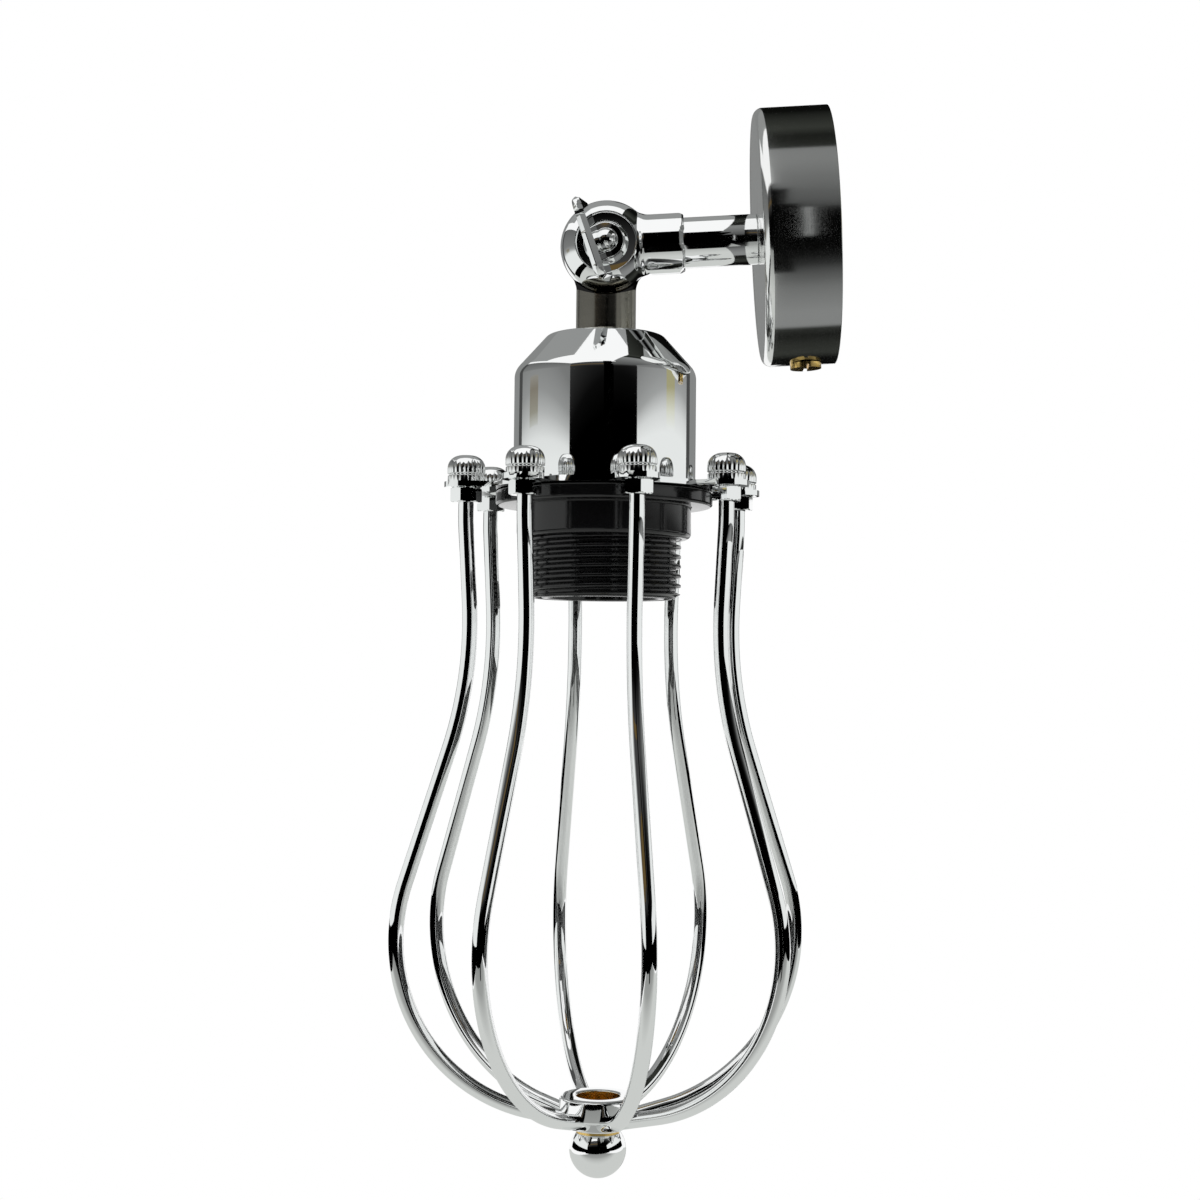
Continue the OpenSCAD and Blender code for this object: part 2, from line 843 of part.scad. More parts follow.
// One wire: a round section swept along its path
module cage_wire(i) {
    rings = len(wire_path);
    points = [
        for (q = wire_path, k = [0 : wire_sides - 1])
            let (a = 360 * k / wire_sides, out = wire_r * cos(a))
            [q[0] + out * cos(q[2]), wire_r * sin(a), q[1] + out * sin(q[2])]
    ];
    sides = [
        for (ring = [0 : rings - 2], k = [0 : wire_sides - 1])
            let (here = ring * wire_sides, next = (k + 1) % wire_sides)
            each [
                [here + k, here + next, here + wire_sides + next],
                [here + k, here + wire_sides + next, here + wire_sides + k]
            ]
    ];
    top = [for (k = [wire_sides - 1 : -1 : 0]) k];
    bottom = [for (k = [0 : wire_sides - 1]) (rings - 1) * wire_sides + k];
    color(chrome)
        on_head()
            rotate([0, 0, first_wire + (i - 1) * 360 / wires])
                polyhedron(points, concat([top, bottom], sides));
}

module hex_nuts() {
    color(chrome)
        on_head()
            at_wires()
                translate([cage_pcd / 2, 0, 0])
                    hex_nut(hex_nut_af, wire_d + 2 * fit, plate_under_z - hex_nut_h, plate_under_z);
}

// A domed nut with a foot, a groove and a round top, standing on zero
module cap_nut() {
    difference() {
        rotate_extrude() {
            square([cap_nut_d / 2 - cap_foot_inset, cap_foot_h]);
            square([cap_nut_d / 2 - cap_groove_depth, cap_nut_h - cap_edge_r]);
            translate([0, cap_foot_h + cap_groove_h])
                rounded_half(cap_nut_d / 2, cap_nut_h - cap_foot_h - cap_groove_h, cap_edge_r);
        }
        rod(wire_d + 2 * fit, -cut, cap_hole_h);
    }
}

module cap_nuts() {
    color(chrome)
        on_head()
            at_wires()
                translate([cage_pcd / 2, 0, plate_top_z])
                    cap_nut();
}

module cage_hub() {
    color(chrome)
        on_head()
            difference() {
                union() {
                    rod(hub_d, hub_top_z - hub_flange_h, hub_top_z);
                    rod(hub_waist_d, hub_bottom_z, hub_top_z);
                }
                rod(hub_bore_d, hub_bottom_z - cut, hub_top_z + cut);
                at_wires()
                    translate([wire_end[0] - fit, 0, wire_end[1]])
                        rotate([0, hub_angle, 0])
                            cylinder(h = hub_r, r = wire_r + fit);
            }
}

module ball_finial() {
    color(chrome)
        on_head() {
            rod(hub_bore_d - 2 * fit, ball_z, stud_top_z);
            difference() {
                translate([0, 0, ball_z])
                    sphere(ball_r);
                rod(ball_d + cut, hub_bottom_z - finial_gap, hub_top_z);
            }
        }
}

wall_plate();
wall_bracket();
plate_screw();
earth_screw();
earth_washer();
arm_nipple();
nipple_washer();
nipple_nut();
arm_tube();
arm_knuckle();
head_knuckle();
wing_washer();
wing_screw();
neck_nipple();
neck_nut();
holder_cup();
holder_dome();
holder_core();
terminal_screws();
screw_shell();
centre_contact();
holder_skirt();
retaining_ring();
cage_plate();
cage_wire(1);  // cage_wire_1
cage_wire(2);  // cage_wire_2
cage_wire(3);  // cage_wire_3
cage_wire(4);  // cage_wire_4
cage_wire(5);  // cage_wire_5
cage_wire(6);  // cage_wire_6
cage_wire(7);  // cage_wire_7
cage_wire(8);  // cage_wire_8
hex_nuts();
cap_nuts();
cage_hub();
ball_finial();
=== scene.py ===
"""Industrial wall sconce: a chrome knuckle arm, a lampholder and a pear-shaped cage of eight wires."""

from math import atan2, cos, pi, radians, sin, sqrt, tan

import bmesh
import bpy
import numpy as np
from mathutils import Matrix, Vector


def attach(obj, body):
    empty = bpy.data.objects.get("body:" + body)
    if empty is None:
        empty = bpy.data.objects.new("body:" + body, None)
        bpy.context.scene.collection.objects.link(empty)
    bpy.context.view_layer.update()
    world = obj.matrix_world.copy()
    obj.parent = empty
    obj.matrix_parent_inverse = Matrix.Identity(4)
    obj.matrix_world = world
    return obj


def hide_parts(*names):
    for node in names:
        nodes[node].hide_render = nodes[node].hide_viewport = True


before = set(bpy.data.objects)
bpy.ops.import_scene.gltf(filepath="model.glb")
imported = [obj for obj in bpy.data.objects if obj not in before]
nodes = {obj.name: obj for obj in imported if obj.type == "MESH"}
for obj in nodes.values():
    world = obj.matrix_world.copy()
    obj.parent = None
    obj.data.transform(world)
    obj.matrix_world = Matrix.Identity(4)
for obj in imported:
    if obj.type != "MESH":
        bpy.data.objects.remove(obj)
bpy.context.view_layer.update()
MM = 0.001


# Wall plate
# A round drum, pressed from 1.2 mm steel and plated. Its side is brushed round and round, so it
# is a little duller than the polished arm. One brass screw in its side holds it on the strap.
plate_r = 33 * MM
plate_depth = 19 * MM
plate_wall = 1.2 * MM
plate_edge_r = 2.4 * MM
plate_hole_r = 5.1 * MM
edge_r = 0.2 * MM
side_hole_y = -8 * MM
peg_hole_r = 1.55 * MM
screw_hole_r = 2.1 * MM


def softened(outline, steps=6):
    """A closed outline with its corners rounded. Each point is radius, height, corner radius."""
    points = []
    for i, (x, z, corner) in enumerate(outline):
        here = Vector((x, z))
        before = (Vector(outline[i - 1][:2]) - here).normalized()
        after = (Vector(outline[(i + 1) % len(outline)][:2]) - here).normalized()
        if not corner or abs(before.dot(after)) > 0.9999:
            points.append(here)
            continue
        half = before.angle(after) / 2
        centre = here + (before + after).normalized() * corner / sin(half)
        start = here + before * corner / tan(half) - centre
        end = here + after * corner / tan(half) - centre
        first = atan2(start.y, start.x)
        sweep = (atan2(end.y, end.x) - first + pi) % (2 * pi) - pi
        for k in range(steps + 1):
            a = first + sweep * k / steps
            points.append(centre + corner * Vector((cos(a), sin(a))))
    return points


def turned(name, points, place=Matrix.Identity(4), segments=160, closed=True):
    """A piece made on a lathe: the points, each radius and height, turned round Z."""
    bm = bmesh.new()
    rings = []
    for p in points:
        ring = []
        for k in range(segments):
            a = 2 * pi * k / segments
            ring.append(bm.verts.new((p[0] * cos(a), p[0] * sin(a), p[1])))
        rings.append(ring)
    for i in range(len(rings) if closed else len(rings) - 1):
        low, high = rings[i], rings[(i + 1) % len(rings)]
        for k in range(segments):
            n = (k + 1) % segments
            bm.faces.new((low[k], low[n], high[n], high[k]))
    bmesh.ops.remove_doubles(bm, verts=bm.verts, dist=1e-7)
    bmesh.ops.recalc_face_normals(bm, faces=bm.faces)
    mesh = bpy.data.meshes.new(name)
    bm.to_mesh(mesh)
    bm.free()
    mesh.transform(place)
    return finished(name, mesh)


def finished(name, mesh, sharp=35):
    """An object for a finished mesh, smooth apart from its sharp edges."""
    mesh.shade_smooth()
    mesh.set_sharp_from_angle(angle=radians(sharp))
    return shown(name, mesh)


def shown(name, data):
    """An object for a mesh, a lamp or a camera, in the scene."""
    made = bpy.data.objects.new(name, data)
    bpy.context.scene.collection.objects.link(made)
    return made


def settled(piece):
    """The mesh of a piece with its modifiers carried out."""
    return bpy.data.meshes.new_from_object(piece.evaluated_get(bpy.context.evaluated_depsgraph_get()))


class Reading:
    """A socket in a node tree. Sums and products of readings and numbers add Math nodes."""

    def __init__(self, graph, socket):
        self.graph, self.socket = graph, socket

    def sum(self, operation, first, second):
        return self.graph.node("ShaderNodeMath", {"operation": operation}, {0: first, 1: second})

    def by(self, operation, other=0.0):
        """This reading put through any other operation of a Math node."""
        return self.sum(operation, self, other)

    def __add__(self, other):
        return self.sum("ADD", self, other)

    __radd__ = __add__

    def __sub__(self, other):
        return self.sum("SUBTRACT", self, other)

    def __rsub__(self, other):
        return self.sum("SUBTRACT", other, self)

    def __mul__(self, other):
        return self.sum("MULTIPLY", self, other)

    __rmul__ = __mul__

    def __truediv__(self, other):
        return self.sum("DIVIDE", self, other)

    def __rtruediv__(self, other):
        return self.sum("DIVIDE", other, self)


class Graph:
    """A node tree in the making, of a finish or of Geometry Nodes."""

    def __init__(self, tree):
        self.tree = tree

    def node(self, kind, settings=None, sockets=None, output=0):
        made = self.tree.nodes.new(kind)
        for key, value in (settings or {}).items():
            if key == "stops":
                ramp = made.color_ramp
                while len(ramp.elements) < len(value):
                    ramp.elements.new(0.5)
                for element, (at, colour) in zip(ramp.elements, value):
                    element.position, element.color = at, (*colour, 1)
            else:
                setattr(made, key, value)
        for key, value in (sockets or {}).items():
            if isinstance(value, Reading):
                self.tree.links.new(value.socket, made.inputs[key])
            else:
                made.inputs[key].default_value = value
        return Reading(self, made.outputs[output]) if made.outputs else None


def finish(name):
    """An empty material and its graph."""
    material = bpy.data.materials.new(name)
    material.use_nodes = True
    material.node_tree.nodes.clear()
    return material, Graph(material.node_tree)


def surface(graph, **sockets):
    """The shader of a finish, with what its sockets take."""
    named = {key.replace("_", " "): value for key, value in sockets.items()}
    shader = graph.node("ShaderNodeBsdfPrincipled", sockets=named)
    graph.node("ShaderNodeOutputMaterial", sockets={"Surface": shader})


def marks(graph, scale, detail=2.0, stretch=(1, 1, 1)):
    """Noise on the piece's own coordinates, from 0 to 1."""
    at = graph.node("ShaderNodeTexCoord", output="Object")
    at = graph.node("ShaderNodeMapping", sockets={"Vector": at, "Scale": stretch})
    return graph.node("ShaderNodeTexNoise", sockets={"Vector": at, "Scale": scale, "Detail": detail})


def blend(graph, share, one, other):
    """A colour between two, by a share from 0 to 1."""
    colours = {0: share, 6: (*one, 1), 7: (*other, 1)}
    return graph.node("ShaderNodeMix", {"data_type": "RGBA"}, colours, output=2)


def relief(graph, height, strength, distance):
    """A bump that a reading raises, for a shader's Normal."""
    sockets = {"Strength": strength, "Distance": distance, "Height": height}
    return graph.node("ShaderNodeBump", sockets=sockets)


def satin_chrome():
    """Plating brushed round the Y axis: lines that run round, and a soft bloom between them."""
    material, graph = finish("satin_chrome")
    lines = marks(graph, 1, 1, (14, 5200, 14))
    cloud = marks(graph, 60)
    surface(
        graph,
        Metallic=1,
        Base_Color=blend(graph, cloud, (0.84, 0.85, 0.84), (0.90, 0.91, 0.90)),
        Roughness=0.07 + 0.05 * lines + 0.03 * cloud,
        Normal=relief(graph, lines, 0.12, 0.005 * MM),
    )
    return material


def cut(piece, cutters, operation="DIFFERENCE", sharp=35):
    """Takes the cutters off a piece one after another, or joins them to it."""
    for cutter in cutters:
        step = piece.modifiers.new(cutter.name, "BOOLEAN")
        step.operation, step.solver, step.object = operation, "MANIFOLD", cutter
    name = piece.name
    mesh = settled(piece)
    for spent in (piece, *cutters):
        bpy.data.objects.remove(spent)
    mesh.materials.clear()
    whole = finished(name, mesh, sharp)
    whole.name = name
    return whole


def rod(name, r, low, high, place=Matrix.Identity(4), segments=96):
    """A plain cutter: a round bar on its own axis."""
    return turned(name, [(0, low), (r, low), (r, high), (0, high)], place, segments, closed=False)


off_wall = Matrix.Rotation(pi / 2, 4, "X")
wall_plate = turned(
    "wall_plate_drum",
    softened([
        (plate_hole_r, plate_depth, edge_r),
        (plate_r, plate_depth, plate_edge_r),
        (plate_r, 0, edge_r),
        (plate_r - plate_wall, 0, edge_r),
        (plate_r - plate_wall, plate_depth - plate_wall, plate_edge_r - plate_wall),
        (plate_hole_r, plate_depth - plate_wall, edge_r),
    ], 10),
    off_wall,
    256,
)
at_side = Matrix.Translation((0, side_hole_y, 0))
wall_plate = cut(wall_plate, [
    rod("peg_hole", peg_hole_r, plate_r - 2 * plate_wall, plate_r + plate_wall, at_side),
    rod("screw_hole", screw_hole_r, -plate_r - plate_wall, -plate_r + 2 * plate_wall, at_side),
])
wall_plate.data.materials.append(satin_chrome())
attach(wall_plate, "arm")
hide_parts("wall_plate")


# Strap, nipple and screws
# Behind the plate sits a bent steel strap with the earth point, and a hollow thread with its nut
# and washer holds the arm. The strap, nut and washer are zinc plated, the screws are brass.
def zinc_plate():
    """Bright zinc: grey with a fine crystal pattern and dull patches."""
    material, graph = finish("zinc_plate")
    grain = marks(graph, 900, 3)
    patches = marks(graph, 120)
    surface(
        graph,
        Metallic=1,
        Base_Color=blend(graph, patches, (0.50, 0.51, 0.53), (0.66, 0.67, 0.68)),
        Roughness=0.28 + 0.12 * grain,
        Normal=relief(graph, grain, 0.15, 0.02 * MM),
    )
    return material


def turned_brass():
    """Brass with fine tool marks and a slightly darker bloom."""
    material, graph = finish("turned_brass")
    bloom = marks(graph, 200, 3)
    tool = marks(graph, 2400, 1)
    surface(
        graph,
        Metallic=1,
        Base_Color=blend(graph, bloom, (0.86, 0.62, 0.22), (0.72, 0.48, 0.15)),
        Roughness=0.16 + 0.1 * tool,
        Normal=relief(graph, tool, 0.2, 0.01 * MM),
    )
    return material


def dress(material, *names):
    """Gives CAD nodes their finish."""
    for name in names:
        for slot in nodes[name].material_slots:
            slot.material = material


zinc = zinc_plate()
brass = turned_brass()
dress(zinc, "wall_bracket", "arm_nipple", "nipple_washer", "nipple_nut", "neck_nipple", "neck_nut")
dress(brass, "plate_screw", "earth_screw", "earth_washer")


# Arm tube
# A short polished tube that stands off the plate and ends inside the knuckle's sleeve.
arm_reach = 58 * MM
tube_r = 6.5 * MM
tube_bore_r = 5.05 * MM
tube_end = 43.4 * MM


def polished_chrome():
    """Bright plating: almost a mirror, with faint wiping marks."""
    material, graph = finish("polished_chrome")
    cloud = marks(graph, 45)
    wipe = marks(graph, 260, 4)
    surface(
        graph,
        Metallic=1,
        Base_Color=blend(graph, cloud, (0.90, 0.91, 0.91), (0.95, 0.96, 0.96)),
        Roughness=0.02 + 0.03 * wipe,
    )
    return material


chrome = polished_chrome()
arm_tube = turned(
    "arm_tube_polished",
    softened([
        (tube_bore_r, plate_depth, edge_r),
        (tube_r, plate_depth, edge_r),
        (tube_r, tube_end, edge_r),
        (tube_bore_r, tube_end, edge_r),
    ]),
    off_wall,
)
arm_tube.data.materials.append(chrome)
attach(arm_tube, "arm")
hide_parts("arm_tube")


# Knuckle
# Two cast halves, ground, polished and plated, that turn face to face. Each is a domed button that
# runs into its own stem: the arm's sleeve, and the neck, whose chrome stem is painted darker brown as a
# painted reflection.
half_r = 12 * MM
half_dome_r = 7.9 * MM
half_gap = 0.15 * MM
stem_r = 7.75 * MM
stem_start = 9.0 * MM
stem_edge_r = 0.7 * MM
stem_blend = 1.8 * MM
saddle_r = 13.8 * MM
recess_r = 8 * MM
recess_x = 5.8 * MM
pivot_hole_r = 2.55 * MM
flex_bore_r = 2.8 * MM
flex_way = (4.5 * MM, 8.5 * MM, 2.15 * MM)
knuckle_grain = 0.26 * MM
button_blank = (14 * MM, 20 * MM, 20 * MM)
stem_blank_w = 13 * MM
far = 20 * MM
on_pivot = Matrix.Rotation(pi / 2, 4, "Y")


def rounded_off(first, second, edge):
    """Distance from what lies inside two bounds at once, with its edge rounded."""
    out = np.hypot(np.maximum(first + edge, 0), np.maximum(second + edge, 0))
    return out + np.minimum(np.maximum(first, second) + edge, 0) - edge


def from_half(points, reach):
    """Distance of points from a knuckle half, whose button is on +X and whose stem is on -Z."""
    x, y, z = points.T
    off_core = np.maximum(np.hypot(y, z) - half_r + half_dome_r, 0)
    button = np.hypot(off_core, x - half_gap) - half_dome_r
    along = np.abs(z + (reach + stem_start) / 2) - (reach - stem_start) / 2
    stem = rounded_off(along, np.hypot(x, y) - stem_r, stem_edge_r)
    near = np.maximum(stem_blend - np.abs(button - stem), 0) / stem_blend
    return np.minimum(button, stem) - near * near * stem_blend / 4


def table(items, key):
    """One row of three numbers for each item of a mesh."""
    rows = np.empty(len(items) * 3)
    items.foreach_get(key, rows)
    return rows.reshape(-1, 3)


def steepest(distance, points, step=0.002 * MM):
    """The way out from a shape at each point."""
    slopes = [(distance(points + row) - distance(points - row)) / (2 * step) for row in np.eye(3) * step]
    return np.stack(slopes, axis=1)


def cast(name, blanks, distance, grain):
    """A casting: a rough skin round its blanks, drawn on to the shape that the distance gives."""
    bm = bmesh.new()
    for size, place in blanks:
        bmesh.ops.create_cube(bm, size=1, matrix=Matrix.Translation(place) @ Matrix.Diagonal((*size, 1)))
    rough = bpy.data.meshes.new(name)
    bm.to_mesh(rough)
    bm.free()
    piece = shown(name, rough)
    skin = piece.modifiers.new("skin", "REMESH")
    skin.mode, skin.voxel_size = "VOXEL", grain
    mesh = settled(piece)
    bpy.data.objects.remove(piece)
    points = table(mesh.vertices, "co")
    for _ in range(12):
        way = steepest(distance, points)
        way /= np.maximum((way * way).sum(axis=1, keepdims=True), 0.25)
        points -= 0.8 * distance(points)[:, None] * way
    mesh.vertices.foreach_set("co", points.ravel())
    mesh.update()
    return finished(name, mesh)


def true_shine(piece, distance):
    """Gives a cut casting the exact normals of its cast surface, so that reflections run clean."""
    mesh = piece.data
    points = table(mesh.vertices, "co")
    ways = steepest(distance, points)
    ways /= np.linalg.norm(ways, axis=1, keepdims=True)
    on_skin = np.abs(distance(points)) < 0.01 * MM
    corners = np.empty(len(mesh.loops), dtype=np.int64)
    mesh.loops.foreach_get("vertex_index", corners)
    normals = table(mesh.corner_normals, "vector")
    counts = np.empty(len(mesh.polygons), dtype=np.int64)
    mesh.polygons.foreach_get("loop_total", counts)
    faces = np.repeat(table(mesh.polygons, "normal"), counts, axis=0)
    skin = on_skin[corners] & ((ways[corners] * faces).sum(axis=1) > 0.85)
    normals[skin] = ways[corners][skin]
    mesh.normals_split_custom_set(normals.tolist())


def knuckle_half(name, reach, mouth, place):
    """A half with its recess, its holes and the room for the other half."""
    def distance(points):
        return from_half(points, reach)

    stem_l = reach - 2 * MM
    piece = cast(name, [
        (button_blank, (half_gap, 0, 0)),
        ((stem_blank_w, stem_blank_w, stem_l), (0, 0, -reach + stem_l / 2)),
    ], distance, knuckle_grain)
    recess = softened([(0, recess_x, 0), (recess_r, recess_x, 0.5 * MM), (recess_r, far, 0), (0, far, 0)])
    way_in, way_out, way_x = flex_way
    way = [(way_in, -way_x), (way_out, -way_x), (way_out, way_x), (way_in, way_x)]
    piece = cut(piece, [
        rod("other_half", saddle_r, -far, half_gap, on_pivot, 192),
        turned("recess", recess, on_pivot, 160, closed=False),
        rod("pivot_hole", pivot_hole_r, -far, far, on_pivot),
        turned("flex_way", way, on_pivot, 96),
        rod("flex_bore", flex_bore_r, -reach - MM, -way_out, segments=64),
        turned("mouth", mouth, segments=128, closed=False),
    ])
    true_shine(piece, distance)
    piece.data.transform(place)
    return piece


def painted_neck_reflection():
    """Painted reflection on the neck's chrome stem: a darker, browner metal colour standing in for dark
    surroundings.
    """
    material, graph = finish("neck_painted_reflection")
    cloud = marks(graph, 120, 3)
    drawn = marks(graph, 1, 2, (60, 60, 1600))
    surface(
        graph,
        Metallic=1,
        Base_Color=blend(graph, cloud, (0.42, 0.40, 0.34), (0.52, 0.50, 0.44)),
        Roughness=0.12 + 0.10 * drawn,
    )
    return material


sleeve_reach = 20.2 * MM
sleeve_bore_r = 6.55 * MM
sleeve_mouth_r = 7.15 * MM
sleeve_floor = -14.6 * MM
neck_reach = 23.5 * MM
neck_bore_r = 5.05 * MM
neck_floor = -17.5 * MM
# Where the painted reflection, the darker brown on the neck's chrome stem, begins
painted_reflection_start = -11.4 * MM
sleeve_mouth = [
    (0, -sleeve_reach - MM), (sleeve_mouth_r, -sleeve_reach - MM), (sleeve_mouth_r, -sleeve_reach),
    (sleeve_bore_r, -sleeve_reach + 0.7 * MM), (sleeve_bore_r, sleeve_floor), (0, sleeve_floor),
]
neck_mouth = [
    (0, -neck_reach - MM), (neck_bore_r, -neck_reach - MM), (neck_bore_r, neck_floor), (0, neck_floor),
]
pivot = Matrix.Translation((0, -arm_reach, 0))
rest_tilt = radians(3.1)
head = pivot @ Matrix.Rotation(-rest_tilt, 4, "X")

arm_half = knuckle_half("arm_knuckle_cast", sleeve_reach, sleeve_mouth, pivot @ off_wall)
arm_half.data.materials.append(chrome)
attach(arm_half, "arm")
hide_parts("arm_knuckle")

head_half = knuckle_half("head_knuckle_cast", neck_reach, neck_mouth, Matrix.Rotation(pi, 4, "Z"))
head_half.data.materials.append(chrome)
head_half.data.materials.append(painted_neck_reflection())
# Faces of the stem below this level take the painted dark reflection
for face in head_half.data.polygons:
    if face.center.z < painted_reflection_start:
        face.material_index = 1
head_half.data.transform(head)
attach(head_half, "head")
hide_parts("head_knuckle")


# Wing screw and washer
# The screw that clamps the knuckle, with a cast wing for the fingers. It bears on a washer with a
# broad bevel. All of it is polished and plated.
washer_r = 5.8 * MM
washer_bevel_r = 4.7 * MM
washer_t = 1 * MM
collar_r = 4.7 * MM
collar_x = 6.9 * MM
collar_top = 8.9 * MM
boss_r = 3 * MM
wing_l = 23.5 * MM
wing_h = 11.5 * MM
wing_corner_r = 5 * MM
wing_edge_r = 0.55 * MM
wing_half_t = (1.15 * MM, 1.4 * MM)
wing_blank = (9 * MM, 3 * MM, 20 * MM)
wing_grain = 0.2 * MM
wing_foot = (8.341 * MM, -2.2 * MM, 0)
wing_lean = radians(12)
wing_turn = radians(16)
wing_place = Matrix.Translation(wing_foot) @ Matrix.Rotation(-wing_lean, 4, "Z")
thread_r = 2.5 * MM
thread_end = -6.4 * MM
collar_step = 0.4 * MM

wing_washer = turned("wing_washer_bevelled", softened([
    (pivot_hole_r, recess_x, 0), (washer_r, recess_x, 0), (washer_r, recess_x + 0.1 * MM, 0.05 * MM),
    (washer_bevel_r, recess_x + washer_t, 0.15 * MM), (pivot_hole_r, recess_x + washer_t, 0),
]), pivot @ on_pivot)
wing_washer.data.materials.append(chrome)
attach(wing_washer, "arm")
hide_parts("wing_washer")


def from_wing(points):
    """Distance of points from the wing: an oval blade, thinner at its upper end."""
    x, y, z = ((points - np.array(wing_place.translation)) @ np.array(wing_place.to_3x3())).T
    side = np.abs(z) - wing_l / 2 + wing_corner_r
    rise = np.abs(x - wing_h / 2) - wing_h / 2 + wing_corner_r
    outline = np.hypot(np.maximum(side, 0), np.maximum(rise, 0)) + np.minimum(np.maximum(side, rise), 0)
    thin, thick = wing_half_t
    middle = (thin + thick) / 2
    return rounded_off(outline - wing_corner_r, np.abs(y) - middle + (thick - thin) * z / wing_l, wing_edge_r)


blank = wing_place @ Vector((wing_h / 2, 0, 0))
blade = cast("wing_blade", [(wing_blank, blank)], from_wing, wing_grain)
screw = turned("wing_screw_cast", softened([
    (0, thread_end, 0), (thread_r, thread_end, 0.4 * MM), (thread_r, collar_x, 0),
    (collar_r, collar_x, 0.1 * MM), (collar_r, collar_top - collar_step, 0.3 * MM),
    (boss_r, collar_top - collar_step, 0.2 * MM),
    (boss_r, collar_top + boss_r, boss_r - 0.001 * MM), (0, collar_top + boss_r, 0),
], 12), on_pivot, closed=False)
screw = cut(screw, [blade], "UNION")
true_shine(screw, from_wing)
screw.data.transform(pivot @ Matrix.Rotation(wing_turn, 4, "X"))
screw.data.materials.append(chrome)
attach(screw, "wing")
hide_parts("wing_screw")


# Lampholder cup
# A spun steel cup, polished and plated, with a flat top, a sloping shoulder and a straight side.
# The hollow thread of the neck clamps it on the holder.
cup_r = 23.5 * MM
cup_top_r = 15 * MM
cup_top = -neck_reach
cup_shoulder = 9.5 * MM
cup_bottom = -62.5 * MM
cup_wall = 0.9 * MM
cup_hole_r = 5.1 * MM
cup_bend_r = 1.9 * MM
shoulder_bend_r = 4.6 * MM

slope = (cup_r - cup_top_r) / cup_shoulder
inset = cup_wall * (sqrt(1 + slope * slope) - 1) / slope
holder_cup = turned(
    "holder_cup_spun",
    softened([
        (cup_hole_r, cup_top, edge_r),
        (cup_top_r, cup_top, cup_bend_r),
        (cup_r, cup_top - cup_shoulder, shoulder_bend_r),
        (cup_r, cup_bottom, edge_r),
        (cup_r - cup_wall, cup_bottom, edge_r),
        (cup_r - cup_wall, cup_top - cup_shoulder - inset, shoulder_bend_r - cup_wall),
        (cup_top_r - inset, cup_top - cup_wall, cup_bend_r - cup_wall),
        (cup_hole_r, cup_top - cup_wall, edge_r),
    ], 10),
    head,
    192,
)
holder_cup.data.materials.append(chrome)
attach(holder_cup, "head")
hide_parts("holder_cup")


# Lampholder insides
# Black phenolic dome, ceramic core with its terminals, and the brass contact. They show only from
# below, through the mouth of the skirt.
def black_phenolic():
    """Moulded black resin: a soft gloss with a slight orange peel."""
    material, graph = finish("black_phenolic")
    peel = marks(graph, 700, 2)
    cloud = marks(graph, 90)
    surface(
        graph,
        Base_Color=blend(graph, cloud, (0.004, 0.004, 0.004), (0.007, 0.007, 0.008)),
        Roughness=0.10 + 0.08 * peel,
        Normal=relief(graph, peel, 0.05, 0.01 * MM),
    )
    return material


def glazed_ceramic():
    """White steatite with a thin glaze and faint specks."""
    material, graph = finish("glazed_ceramic")
    specks = marks(graph, 1500, 3)
    cloud = marks(graph, 80)
    surface(
        graph,
        Base_Color=blend(graph, cloud, (0.74, 0.73, 0.69), (0.82, 0.81, 0.77)),
        Roughness=0.25 + 0.2 * specks,
        Normal=relief(graph, specks, 0.1, 0.02 * MM),
    )
    return material


phenolic = black_phenolic()
ceramic = glazed_ceramic()
dress(phenolic, "holder_dome")
dress(ceramic, "holder_core")
dress(brass, "terminal_screws", "centre_contact")


# Skirt and screw shell
# The skirt is moulded with a coarse screw thread outside for the retaining ring. The brass shell
# inside it has the round thread that the lamp screws into, rolled in the sheet.
skirt_root_r = 18.6 * MM
skirt_r = 20 * MM
skirt_pitch = 2.5 * MM
mouth_z = -91.5 * MM
thread_top = mouth_z + 26.6 * MM
rim_z = -52 * MM
spigot_z = -48 * MM
core_floor = -62 * MM
shell_r = 13.4 * MM
shell_top = -66 * MM
shell_bottom = -84 * MM
shell_pitch = 3.6 * MM


def rule(name, sizes):
    """A Geometry Nodes tree with named inputs: its graph and their readings."""
    tree = bpy.data.node_groups.new(name, "GeometryNodeTree")
    tree.interface.new_socket("Geometry", in_out="INPUT", socket_type="NodeSocketGeometry")
    for size, value in sizes.items():
        kind = "NodeSocketInt" if isinstance(value, int) else "NodeSocketFloat"
        tree.interface.new_socket(size, in_out="INPUT", socket_type=kind)
    tree.interface.new_socket("Geometry", in_out="OUTPUT", socket_type="NodeSocketGeometry")
    graph = Graph(tree)
    source = tree.nodes.new("NodeGroupInput")
    inputs = {s.name: Reading(graph, s) for s in source.outputs if s.name}
    return graph, inputs


def ruled(name, start, graph, result, sizes, sharp=35):
    """The mesh that a tree makes from a start, as a plain piece."""
    graph.node("NodeGroupOutput", sockets={0: result})
    piece = shown(name, start)
    modifier = piece.modifiers.new(name, "NODES")
    modifier.node_group = graph.tree
    for item in graph.tree.interface.items_tree:
        if item.in_out == "INPUT" and item.name in sizes:
            modifier[item.identifier] = sizes[item.name]
    mesh = settled(piece)
    piece.modifiers.remove(modifier)
    bpy.data.objects.remove(piece)
    return finished(name, mesh, sharp)


def on_axis(name, points, segments, closed=True):
    """The plain turned mesh that a rule starts from."""
    piece = turned(name, points, segments=segments, closed=closed)
    mesh = piece.data
    bpy.data.objects.remove(piece)
    return mesh


def placed_on_head(graph, geometry):
    """Carries a shape from the head's own axis to its place on the lamp."""
    return graph.node(
        "GeometryNodeTransform",
        sockets={"Geometry": geometry, "Translation": head.translation, "Rotation": head.to_euler()},
    )


def finished_by_rule(graph, geometry, material):
    """Realised and in its finish, as every rule ends."""
    real = graph.node("GeometryNodeRealizeInstances", sockets={"Geometry": geometry})
    return graph.node("GeometryNodeSetMaterial", sockets={"Geometry": real, "Material": material})


